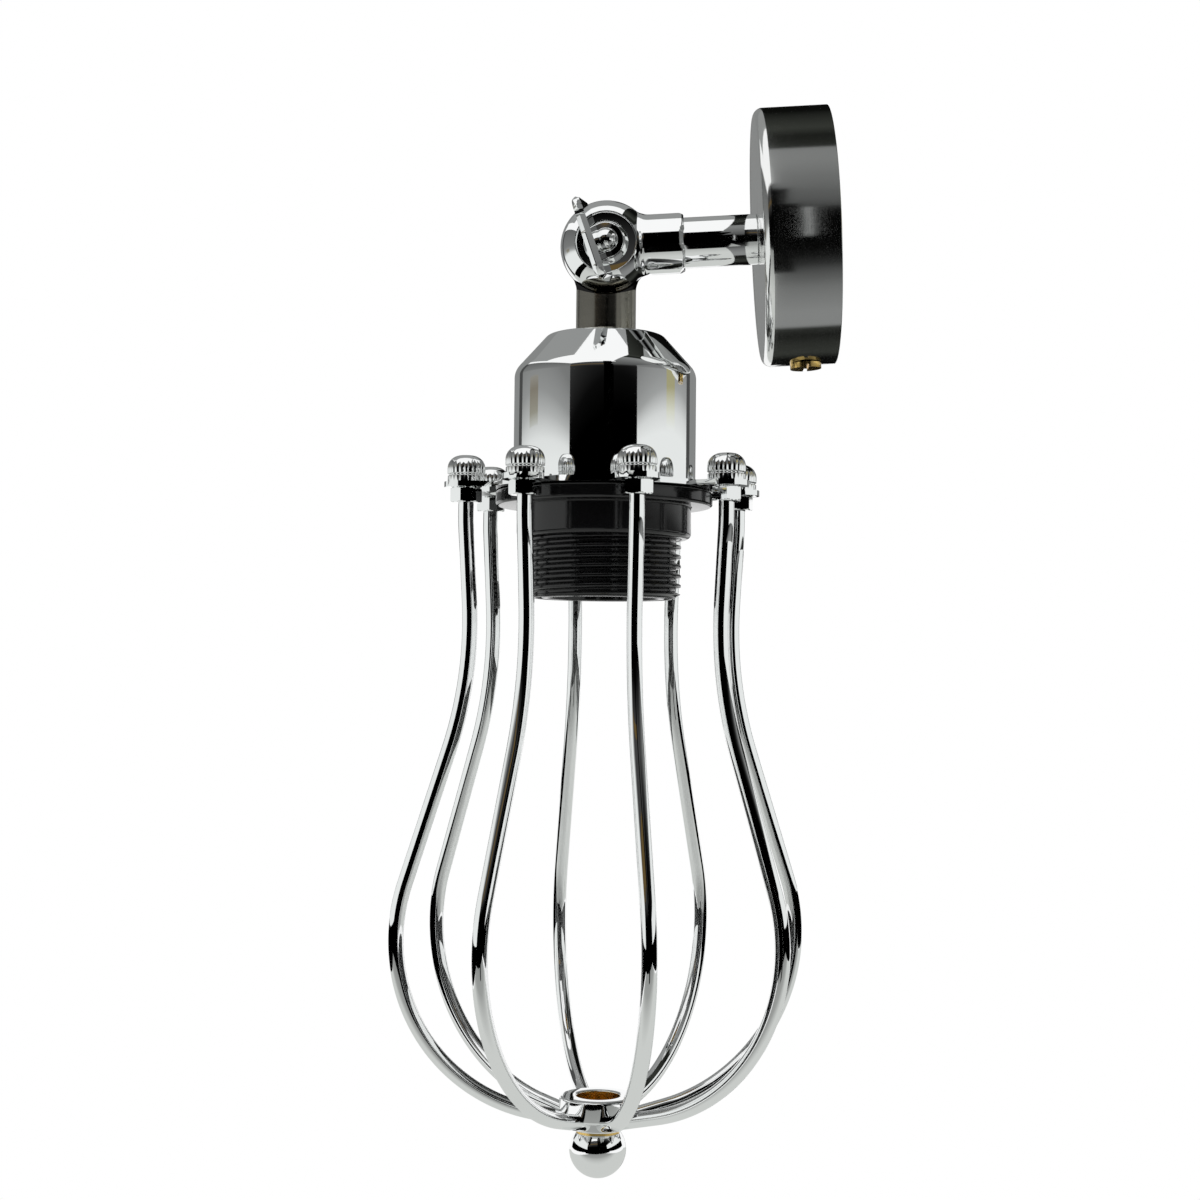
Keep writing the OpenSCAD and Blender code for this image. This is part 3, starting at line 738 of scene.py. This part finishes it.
def parts_of(graph, vector):
    """The three parts of a vector, and how far it is from the Z axis."""
    x, y, z = (graph.node("ShaderNodeSeparateXYZ", sockets={0: vector}, output=k) for k in range(3))
    return x, y, z, (x * x + y * y).by("SQRT")


def risen(graph, value, start, end, curve="LINEAR"):
    """How far a reading has come from a start to an end, from 0 to 1."""
    limits = {"Value": value, "From Min": start, "From Max": end}
    return graph.node("ShaderNodeMapRange", {"interpolation_type": curve}, limits)


def threaded(name, start, material, sizes):
    """A wall with a screw thread: a rounded ridge that climbs one pitch in each turn."""
    graph, size = rule(name, sizes)
    x, y, z, radius = parts_of(graph, graph.node("GeometryNodeInputPosition"))
    turn = y.by("ARCTAN2", x) / (2 * pi)
    phase = (z / size["Pitch"] - turn).by("FRACT")
    from_crest = (phase - 0.5).by("ABSOLUTE")
    ridge = 1 - risen(graph, from_crest, size["Crest share"], size["Root share"], "SMOOTHSTEP")
    above = risen(graph, z, size["Low"], size["Low"] + size["Run out"])
    below = risen(graph, z, size["High"], size["High"] - size["Run out"])
    wall = radius.by("GREATER_THAN", size["Wall"])
    level = graph.node("ShaderNodeCombineXYZ", sockets={0: x, 1: y})
    outwards = graph.node("ShaderNodeVectorMath", {"operation": "NORMALIZE"}, {0: level})
    height = ridge * above * below * wall * size["Depth"]
    shift = graph.node("ShaderNodeVectorMath", {"operation": "SCALE"}, {0: outwards, "Scale": height})
    raised = graph.node("GeometryNodeSetPosition", sockets={"Geometry": size["Geometry"], "Offset": shift})
    result = finished_by_rule(graph, placed_on_head(graph, raised), material)
    return ruled(name, start, graph, result, sizes, 60)


def fine_wall(r, low, high, step):
    """Points up a straight wall, close enough together for a thread."""
    count = round((high - low) / step)
    return [Vector((r, low + (high - low) * k / count)) for k in range(count + 1)]


mouth_r = 14.4 * MM
room_r = 16.95 * MM
spigot_r = 18.45 * MM
groove_in_r = 15.9 * MM
groove_out_r = 17.6 * MM
groove_top = mouth_z + 8 * MM
skirt_sizes = {
    "Pitch": skirt_pitch, "Depth": skirt_r - skirt_root_r, "Crest share": 0.1, "Root share": 0.4,
    "Low": mouth_z + 0.4 * MM, "High": thread_top, "Run out": 0.8 * MM, "Wall": skirt_root_r - 0.1 * MM,
}
skirt_points = fine_wall(skirt_root_r, mouth_z + edge_r, thread_top, 0.14 * MM) + softened([
    (skirt_r, thread_top, edge_r), (skirt_r, rim_z, edge_r), (spigot_r, rim_z, 0),
    (spigot_r, spigot_z, edge_r), (room_r, spigot_z, edge_r), (room_r, core_floor, 0),
    (mouth_r, core_floor, 0), (mouth_r, mouth_z, 2 * edge_r), (groove_in_r, mouth_z, edge_r),
    (groove_in_r, groove_top, edge_r), (groove_out_r, groove_top, edge_r), (groove_out_r, mouth_z, edge_r),
    (skirt_root_r, mouth_z, edge_r),
])
skirt_start = on_axis("skirt_start", skirt_points, 128)
holder_skirt = threaded("holder_skirt_moulded", skirt_start, phenolic, skirt_sizes)
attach(holder_skirt, "head")
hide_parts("holder_skirt")

shell_wall = 0.35 * MM
shell_groove = 0.8 * MM
shell_lip_r = 6.5 * MM
shell_sizes = {
    "Pitch": shell_pitch, "Depth": shell_groove, "Crest share": 0.0, "Root share": 0.5,
    "Low": shell_bottom + 0.6 * MM, "High": shell_top - 1.2 * MM, "Run out": 1.2 * MM, "Wall": 12 * MM,
}
shell_inner = shell_r - shell_groove
shell_points = (
    fine_wall(shell_inner, shell_bottom, shell_top - shell_wall, 0.3 * MM)
    + [Vector((shell_lip_r, shell_top - shell_wall)), Vector((shell_lip_r, shell_top))]
    + fine_wall(shell_inner + shell_wall, shell_bottom, shell_top, 0.3 * MM)[::-1]
)
shell_start = on_axis("shell_start", shell_points, 96)
screw_shell = threaded("screw_shell_rolled", shell_start, brass, shell_sizes)
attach(screw_shell, "head")
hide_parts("screw_shell")


# Retaining ring
# A black moulded ring with a wide flange. It screws up the skirt and clamps the cage plate
# against the cup.
ring_bore_r = 20.08 * MM
ring_collar_r = 22.5 * MM
ring_flange_r = 28 * MM
ring_top = -64.05 * MM
ring_flange_low = ring_top - 3.7 * MM
ring_low = ring_top - 12.05 * MM
retaining_ring = turned(
    "retaining_ring_moulded",
    softened([
        (ring_bore_r, ring_top, edge_r),
        (ring_flange_r, ring_top, 0.5 * MM),
        (ring_flange_r, ring_flange_low, 0.8 * MM),
        (ring_collar_r, ring_flange_low, 0.4 * MM),
        (ring_collar_r, ring_low, 1.5 * MM),
        (ring_bore_r, ring_low, edge_r),
    ], 8),
    head,
    192,
)
retaining_ring.data.materials.append(phenolic)
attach(retaining_ring, "ring")
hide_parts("retaining_ring")


# Cage plate
# A plate with eight lobes, cut from 1.4 mm steel and plated, that the ring clamps against the cup.
# The tumbling before it was plated has rounded its edges.
def tumbled(name, node, edge, angle=40):
    """A copy of a CAD node with its edges rounded."""
    bm = bmesh.new()
    bm.from_mesh(nodes[node].data)
    bm.transform(nodes[node].matrix_world)
    bmesh.ops.remove_doubles(bm, verts=bm.verts, dist=1e-6)
    bmesh.ops.dissolve_limit(bm, angle_limit=radians(0.5), verts=bm.verts, edges=bm.edges)
    corners = [e for e in bm.edges if len(e.link_faces) == 2 and e.calc_face_angle() > radians(angle)]
    bmesh.ops.bevel(bm, geom=corners, offset=edge, segments=3, affect="EDGES", clamp_overlap=True)
    mesh = bpy.data.meshes.new(name)
    bm.to_mesh(mesh)
    bm.free()
    return finished(name, mesh, 30)


cage_plate = tumbled("cage_plate_tumbled", "cage_plate", 0.25 * MM)
cage_plate.data.materials.append(chrome)
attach(cage_plate, "head")
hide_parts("cage_plate")


# Cage wires
# Eight 4 mm steel wires, each bent to the pear shape in one piece and plated. The top end is
# threaded into a nut on the plate, the other end is fixed in the hub.
wires = 8
wire_r = 1.95 * MM
first_wire = radians(14.7)
wire_tip = Vector((36 * MM, -57.7 * MM))
bend_step = radians(1.5)
wire_runs = [
    (0, 13.3 * MM, 60 * MM),
    (-3.25, 18.6 * MM, 104 * MM),
    (17.7, 35 * MM, 45.4 * MM),
    (-76.5, 0, 0),
]
wire_inner_r = 6.3 * MM


def wire_line():
    """Points down one wire: straight runs, each followed by a bend that meets it smoothly."""
    at = wire_tip.copy()
    points = [at.copy()]
    for (heading, run, bend_r), (turn_to, _, _) in zip(wire_runs, wire_runs[1:]):
        start, end = radians(heading), radians(turn_to)
        at = at + run * Vector((sin(start), -cos(start)))
        points.append(at.copy())
        steps = max(2, round(abs(end - start) / bend_step))
        side = 1 if end > start else -1
        for k in range(1, steps + 1):
            a = start + (end - start) * k / steps
            points.append(at + side * bend_r * Vector((cos(start) - cos(a), sin(start) - sin(a))))
        at = points[-1].copy()
    last = radians(wire_runs[-1][0])
    length = (at.x - wire_inner_r) / -sin(last)
    points.append(at + length * Vector((sin(last), -cos(last))))
    return points


def line_mesh(name, points):
    """The points as one chain of edges, radius along X."""
    mesh = bpy.data.meshes.new(name)
    corners = [(p[0], 0, p[1]) for p in points]
    mesh.from_pydata(corners, [(k, k + 1) for k in range(len(corners) - 1)], [])
    return mesh


def round_the_cage(graph, size, geometry, material):
    """One shape at each wire, on the lamp."""
    points = graph.node("GeometryNodePoints", sockets={"Count": size["Wires"]})
    index = graph.node("GeometryNodeInputIndex")
    turn = index * (2 * pi) / size["Wires"] + size["First angle"]
    angle = graph.node("ShaderNodeCombineXYZ", sockets={2: turn})
    each = {"Points": points, "Instance": geometry, "Rotation": angle}
    spread = graph.node("GeometryNodeInstanceOnPoints", sockets=each)
    return finished_by_rule(graph, placed_on_head(graph, spread), material)


wire_sizes = {"Wires": wires, "First angle": first_wire, "Wire radius": wire_r}
graph, size = rule("cage_wires", wire_sizes)
line = graph.node("GeometryNodeMeshToCurve", sockets={"Mesh": size["Geometry"]})
round_bar = {"Resolution": 32, "Radius": size["Wire radius"]}
section = graph.node("GeometryNodeCurvePrimitiveCircle", sockets=round_bar)
swept = {"Curve": line, "Profile Curve": section, "Fill Caps": True}
bent = graph.node("GeometryNodeCurveToMesh", sockets=swept)
cage_wires = ruled(
    "cage_wires", line_mesh("wire_line", wire_line()), graph,
    round_the_cage(graph, size, bent, chrome), wire_sizes,
)
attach(cage_wires, "head")
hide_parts(*[f"cage_wire_{k + 1}" for k in range(wires)])


# Hex nuts
# Eight small hexagonal nuts under the plate. Their corners are turned off to a cone on both sides.
hex_af = 7 * MM
hex_h = 3.8 * MM
hex_cone = 1.7
hex_wall_share = 1.2
hex_steps = 26
plate_under = -63.9 * MM
cage_r = 36 * MM


def nuts(graph, size, x, y, z, share):
    """The start with its points moved by a share of their radius, once for each wire, at its level."""
    place = graph.node("ShaderNodeCombineXYZ", sockets={0: x * share, 1: y * share, 2: z})
    moved = {"Geometry": size["Geometry"], "Position": place}
    nut = graph.node("GeometryNodeSetPosition", sockets=moved)
    out = graph.node("ShaderNodeCombineXYZ", sockets={0: size["Cage radius"], 2: size["Level"]})
    nut = graph.node("GeometryNodeTransform", sockets={"Geometry": nut, "Translation": out})
    return round_the_cage(graph, size, nut, chrome)


hex_sizes = {
    "Wires": wires, "First angle": first_wire, "Cage radius": cage_r, "Level": plate_under - hex_h,
    "Across flats": hex_af, "Nut height": hex_h, "Bore radius": wire_r,
}
graph, size = rule("hex_nuts", hex_sizes)
x, y, z, radius = parts_of(graph, graph.node("GeometryNodeInputPosition"))
from_flat = (y.by("ARCTAN2", x) + 2 * pi).by("MODULO", pi / 3) - pi / 6
flat = size["Across flats"] / 2 / from_flat.by("COSINE")
from_end = z.by("MINIMUM", size["Nut height"] - z)
cone = size["Across flats"] * 0.5 + from_end * hex_cone
outside = radius.by("GREATER_THAN", size["Bore radius"] * hex_wall_share)
new = radius.by("MINIMUM", flat.by("MINIMUM", cone)) * outside + radius * (1 - outside)
hex_bore_r = wire_r + 0.05 * MM
hex_start = on_axis("hex_start", (
    [Vector((hex_bore_r, 0)), Vector((hex_af / 2, 0))]
    + [Vector((hex_af, hex_h * k / hex_steps)) for k in range(hex_steps + 1)]
    + [Vector((hex_af / 2, hex_h)), Vector((hex_bore_r, hex_h))]
), 96)
hex_nuts = ruled(
    "hex_nuts_chamfered", hex_start, graph, nuts(graph, size, x, y, z, new / radius), hex_sizes, 30,
)
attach(hex_nuts, "head")
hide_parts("hex_nuts")


# Cap nuts
# Eight domed nuts on top of the plate, turned from bar with a foot, a groove and a fluted side
# for the fingers.
cap_r = 4.85 * MM
cap_h = 6.8 * MM
cap_foot_r = 4.75 * MM
cap_foot_h = 1.6 * MM
cap_groove_r = 4.45 * MM
cap_groove_top = 2.0 * MM
cap_edge_r = 3.4 * MM
cap_flutes = 22
flute_run_in = 0.3 * MM
flute_run_out = 1.6 * MM
flute_inner_r = 2.5 * MM
plate_top = -62.5 * MM
cap_sizes = {
    "Wires": wires, "First angle": first_wire, "Cage radius": cage_r, "Level": plate_top,
    "Flutes": cap_flutes, "Flute depth": 0.25 * MM, "Flute start": 0.1 * MM,
    "Flute end": cap_h - 1.4 * MM,
}
graph, size = rule("cap_nuts", cap_sizes)
x, y, z, radius = parts_of(graph, graph.node("GeometryNodeInputPosition"))
valley = 1 - (y.by("ARCTAN2", x) * size["Flutes"] / 2).by("COSINE").by("ABSOLUTE")
rise = risen(graph, z, size["Flute start"], size["Flute start"] + flute_run_in)
fall = risen(graph, z, size["Flute end"], size["Flute end"] - flute_run_out)
on_side = radius.by("GREATER_THAN", flute_inner_r)
new = radius - size["Flute depth"] * valley * rise * fall * on_side
cap_points = softened([
    (0, 0, 0), (cap_foot_r, 0, 0.1 * MM), (cap_foot_r, cap_foot_h, 0.15 * MM),
    (cap_groove_r, cap_foot_h, 0.1 * MM), (cap_groove_r, cap_groove_top, 0.1 * MM),
    (cap_r, cap_groove_top, 0.2 * MM), (cap_r, cap_h, cap_edge_r), (0, cap_h, 0),
], 10)
cap_start = on_axis("cap_start", cap_points, cap_flutes * 8, closed=False)
cap_nuts = ruled(
    "cap_nuts_fluted", cap_start, graph, nuts(graph, size, x, y, z, new / (radius + 1e-9)), cap_sizes, 50,
)
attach(cap_nuts, "head")
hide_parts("cap_nuts")


# Hub and ball
# The wires meet in a turned flange with a narrower waist, bored and threaded in bare brass. The
# ball closes it from below on a brass stud. Hub and ball are plated outside.
hub_r = 9.9 * MM
hub_waist_r = 6.8 * MM
hub_bore_r = 5.6 * MM
hub_top = -218.39 * MM
hub_flange_low = -223.89 * MM
hub_low = -226.79 * MM
stud_r = 5.55 * MM
stud_top = -222.89 * MM
ball_r = 7.25 * MM
ball_z = -231.94 * MM
ball_flat_z = -227.59 * MM


def bare_inside(piece, r, low):
    """Brass on the faces nearer to the axis than a radius and above a level, chrome on the rest."""
    piece.data.materials.append(chrome)
    piece.data.materials.append(brass)
    for face in piece.data.polygons:
        corners = [piece.data.vertices[v].co for v in face.vertices]
        if all(corner.xy.length < r and corner.z > low for corner in corners):
            face.material_index = 1
    piece.data.transform(head)


hub = turned("cage_hub_turned", softened([
    (hub_bore_r, hub_top, 0.3 * MM), (hub_r, hub_top, 0.6 * MM), (hub_r, hub_flange_low, 0.6 * MM),
    (hub_waist_r, hub_flange_low, 0.8 * MM), (hub_waist_r, hub_low, 0.4 * MM),
    (hub_bore_r, hub_low, 0.1 * MM),
], 8))
bare_inside(hub, hub_bore_r + 0.05 * MM, hub_low - MM)
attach(hub, "head")
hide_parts("cage_hub")

ball_steps = 48
ball_start = atan2(ball_flat_z - ball_z, sqrt(ball_r ** 2 - (ball_flat_z - ball_z) ** 2))
ball_points = [Vector((0, stud_top)), Vector((stud_r, stud_top)), Vector((stud_r, ball_flat_z))]
for k in range(ball_steps + 1):
    a = ball_start - (ball_start + pi / 2) * k / ball_steps
    ball_points.append(Vector((ball_r * cos(a) if k < ball_steps else 0, ball_z + ball_r * sin(a))))
ball = turned("ball_finial_turned", ball_points, closed=False)
bare_inside(ball, stud_r + 0.01 * MM, ball_flat_z - 0.01 * MM)
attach(ball, "head")
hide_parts("ball_finial")


# Studio
# A pale floor well below the lamp and white surroundings, with one soft lamp above. Cards that show
# only in the metal stand round it: black behind the camera, fading greys at both sides and beside the
# arm, and greys above, behind and below.
def glow(name, shades, axis=2):
    """The look of a card: one shade, or shades at places along an axis, in metres."""
    material, graph = finish(name)
    shade = (*shades[0][1], 1)
    if len(shades) > 1:
        low, high = shades[0][0], shades[-1][0]
        at = graph.node("ShaderNodeTexCoord", output="Object")
        along = graph.node("ShaderNodeSeparateXYZ", sockets={0: at}, output=axis)
        stops = [((place - low) / (high - low), colour) for place, colour in shades]
        shade = graph.node("ShaderNodeValToRGB", {"stops": stops}, {0: (along - low) / (high - low)})
    light = graph.node("ShaderNodeEmission", sockets={"Color": shade, "Strength": 1.0})
    graph.node("ShaderNodeOutputMaterial", sockets={"Surface": light})
    return material


def card(name, low, high, shades, axis=2):
    """A flat card between two corners that only reflections see."""
    flat = min(range(3), key=lambda k: abs(high[k] - low[k]))
    a, b = [k for k in range(3) if k != flat]
    corners = []
    for p, q in ((low, low), (high, low), (high, high), (low, high)):
        corner = list(low)
        corner[a], corner[b] = p[a], q[b]
        corners.append(corner)
    mesh = bpy.data.meshes.new(name)
    mesh.from_pydata(corners, [], [(0, 1, 2, 3)])
    mesh.materials.append(glow(name, shades, axis))
    piece = shown(name, mesh)
    piece.visible_camera = piece.visible_diffuse = piece.visible_shadow = False


def grey(level, tint=(1, 1, 1)):
    """A grey with a slight tint."""
    return tuple(level * t for t in tint)


def plain(colour):
    """The shades of a card that is one colour."""
    return [(0, colour)]


cool = (0.98, 1.0, 0.99)
olive = (1.0, 1.07, 0.93)
card("card_front", (0.9, -1.05, -0.37), (0.9, 1.05, 0.62), [
    (-0.37, grey(0)), (0.06, grey(0)), (0.12, grey(0.003)), (0.195, grey(0.02)), (0.31, grey(0.05)),
    (0.62, grey(0.06)),
])
card("card_front_warm", (0.88, -1.05, 0.27), (0.88, 0.03, 0.33), plain((0.12, 0.08, 0.03)))
card("card_slit", (0.74, 0.0455, -0.36), (0.74, 0.0555, 0.5), plain(grey(0.7, cool)))
card("card_flag", (0.3, -0.055, -0.27), (0.3, 0.006, 0.20), plain(grey(0)))
card("card_back", (-0.9, -0.99, 0.0), (-0.9, 0.87, 0.8), plain(grey(0.25, cool)))
for side in (-1, 1):
    low, high = sorted((side * 0.02, side * 0.8))
    card(f"card_back_dark_{side + 1}", (-0.85, 0.03, low), (-0.85, 0.12, high), plain(grey(0)))
card("card_roof_back", (-0.9, -0.9, 0.8), (-0.10, 0.9, 0.8), plain(grey(0.3, cool)))
# Each side card: where it stands across, and its shades up Z
fades = {
    "left": (-0.358, [
        (-0.17, 0.85), (-0.0245, 0.85), (-0.009, 0.78), (0.008, 0.46), (0.022, 0.30), (0.05, 0.2),
        (0.2, 0.13),
    ]),
    "right": (0.242, [
        (-0.17, 0.85), (-0.037, 0.85), (-0.024, 0.70), (-0.009, 0.36), (0.002, 0.30), (0.034, 0.2),
        (0.2, 0.13),
    ]),
}
for side, (y, fade) in fades.items():
    card(f"card_{side}", (-0.20, y, -0.17), (0.34, y, 0.2), [(z, grey(level, cool)) for z, level in fade])
    card(f"card_{side}_skirt", (-0.20, y, -0.25), (0.34, y, -0.17), plain(grey(0)))
    card(f"card_{side}_strip", (-0.29, y, -0.17), (-0.20, y, 0.2), plain(grey(0.07, cool)))
card("card_right_warm", (-0.035, 0.24, -0.035), (0.04, 0.24, 0.2), [
    (-0.035, (0.83, 0.85, 0.84)), (-0.024, (0.69, 0.70, 0.60)), (-0.009, (0.37, 0.35, 0.20)),
    (0.2, (0.30, 0.27, 0.12)),
])
card("card_neck_warm", (-0.062, 0.238, 0.016), (-0.02, 0.238, 0.043), plain((0.8, 0.55, 0.1)))
card("card_left_warm", (-0.075, -0.356, 0.0), (0.01, -0.356, 0.03), [
    (0.0, (0.52, 0.53, 0.5)), (0.008, (0.30, 0.29, 0.24)), (0.022, (0.22, 0.2, 0.16)),
    (0.03, (0.28, 0.27, 0.24)),
])
# Each card beside the arm: its level, where its tint changes, where its far part starts and its
# shades along X
drum_sides = {
    "under": (-0.08, 0.01, 0.1, [
        (-0.3, 0.002), (-0.08, 0.003), (-0.042, 0.033), (-0.018, 0.023), (-0.002, 0.009), (0.009, 0.02),
        (0.012, 0.246), (0.031, 0.246), (0.066, 0.17), (0.081, 0.119), (0.098, 0.08), (0.122, 0.024),
        (0.155, 0.005), (0.204, 0.0),
    ]),
    "over": (0.08, 0.051, 0.16, [
        (-0.3, 0.002), (-0.028, 0.004), (-0.0015, 0.023), (0.017, 0.039), (0.031, 0.012), (0.044, 0.019),
        (0.05, 0.02), (0.0525, 0.22), (0.073, 0.22), (0.112, 0.17), (0.142, 0.15), (0.183, 0.12),
        (0.252, 0.10), (0.389, 0.05),
    ]),
}
for side, (z, edge, split, levels) in drum_sides.items():
    shades = [(x, grey(level, olive if x < edge else cool)) for x, level in levels]
    card(f"card_drum_{side}", (-0.3, -0.0185, z), (split, 0.2, z), shades, 0)
    card(f"card_drum_{side}_far", (split, -0.008, z), (0.38, 0.2, z), shades, 0)
floor_tint = (0.976, 1.0, 0.969)
card("card_floor", (-1.6, -1.6, -0.6), (2.6, 1.6, -0.6), [
    (-1.6, grey(0.635, floor_tint)), (0.3, grey(0.635, floor_tint)), (0.9, grey(0.35, floor_tint)),
    (1.6, grey(0.3, floor_tint)), (2.6, grey(0.27, floor_tint)),
], 0)

floor_z = -0.62
floor_half = 8


def in_picture(graph):
    """1 for the camera and in metal or glass, 0 for the light that falls on the lamp."""
    seen = graph.node("ShaderNodeLightPath", output="Is Camera Ray")
    for ray in ("Is Glossy Ray", "Is Transmission Ray"):
        seen = seen.by("MAXIMUM", graph.node("ShaderNodeLightPath", output=ray))
    return seen


def pale_floor():
    """White for the camera and in metal, with part of the shadow kept under the lamp."""
    material, graph = finish("pale_floor")
    at = graph.node("ShaderNodeTexCoord", output="Object")
    away = parts_of(graph, at)[3]
    under = 1 - risen(graph, away, 0.25, 0.9, "SMOOTHSTEP")
    paint = graph.node("ShaderNodeBsdfDiffuse", sockets={"Color": (0.9, 0.9, 0.9, 1)})
    white = graph.node("ShaderNodeEmission", sockets={"Color": (1, 1, 1, 1), "Strength": 1.0})
    share = in_picture(graph) * (1 - 0.3 * under)
    mixed = graph.node("ShaderNodeMixShader", sockets={0: share, 1: paint, 2: white})
    graph.node("ShaderNodeOutputMaterial", sockets={"Surface": mixed})
    return material


floor_mesh = bpy.data.meshes.new("floor")
corners = [(x * floor_half, y * floor_half, floor_z) for x, y in ((-1, -1), (1, -1), (1, 1), (-1, 1))]
floor_mesh.from_pydata(corners, [], [(0, 1, 2, 3)])
floor_mesh.materials.append(pale_floor())
floor = shown("floor", floor_mesh)

world = bpy.data.worlds.new("surroundings")
world.use_nodes = True
world.node_tree.nodes.clear()
graph = Graph(world.node_tree)
light = {"Color": (1, 1, 1, 1), "Strength": 0.6 + 0.4 * in_picture(graph)}
sky = graph.node("ShaderNodeBackground", sockets=light)
graph.node("ShaderNodeOutputWorld", sockets={"Surface": sky})
bpy.context.scene.world = world

lamp_data = bpy.data.lights.new("soft_lamp", "AREA")
lamp_data.shape = "RECTANGLE"
lamp_data.size, lamp_data.size_y = 1.2, 1.2
lamp_data.energy = 7
soft_lamp = shown("soft_lamp", lamp_data)
soft_lamp.location = (0.5, -0.5, 1.1)
aim = Vector((0, -0.05, -0.1)) - soft_lamp.location
soft_lamp.rotation_euler = aim.to_track_quat("-Z", "Y").to_euler()
soft_lamp.visible_glossy = False
soft_lamp.visible_camera = False

# The camera stands where the photograph's did, level with the cage and tilted a little. Its focal
# length was fitted in pixels of a picture 1200 pixels wide
focal = 1954.9
picture_w = 1200
camera_at = Vector((503.74, -46.04, -112.66)) * MM
forward = Vector((-0.99851, -0.03514, 0.04166)).normalized()
roll = radians(-2.52)
right = forward.cross(Vector((0, 0, 1))).normalized()
up = right.cross(forward)
across = cos(roll) * right + sin(roll) * up
upright = cos(roll) * up - sin(roll) * right
camera_data = bpy.data.cameras.new("camera")
camera_data.sensor_width = 36
camera_data.lens = camera_data.sensor_width * focal / picture_w
camera_data.clip_start = 0.01
camera = shown("camera", camera_data)
turn = Matrix((across, upright, -forward)).transposed().to_4x4()
camera.matrix_world = Matrix.Translation(camera_at) @ turn
bpy.context.scene.camera = camera
bpy.context.scene.view_settings.view_transform = "Standard"
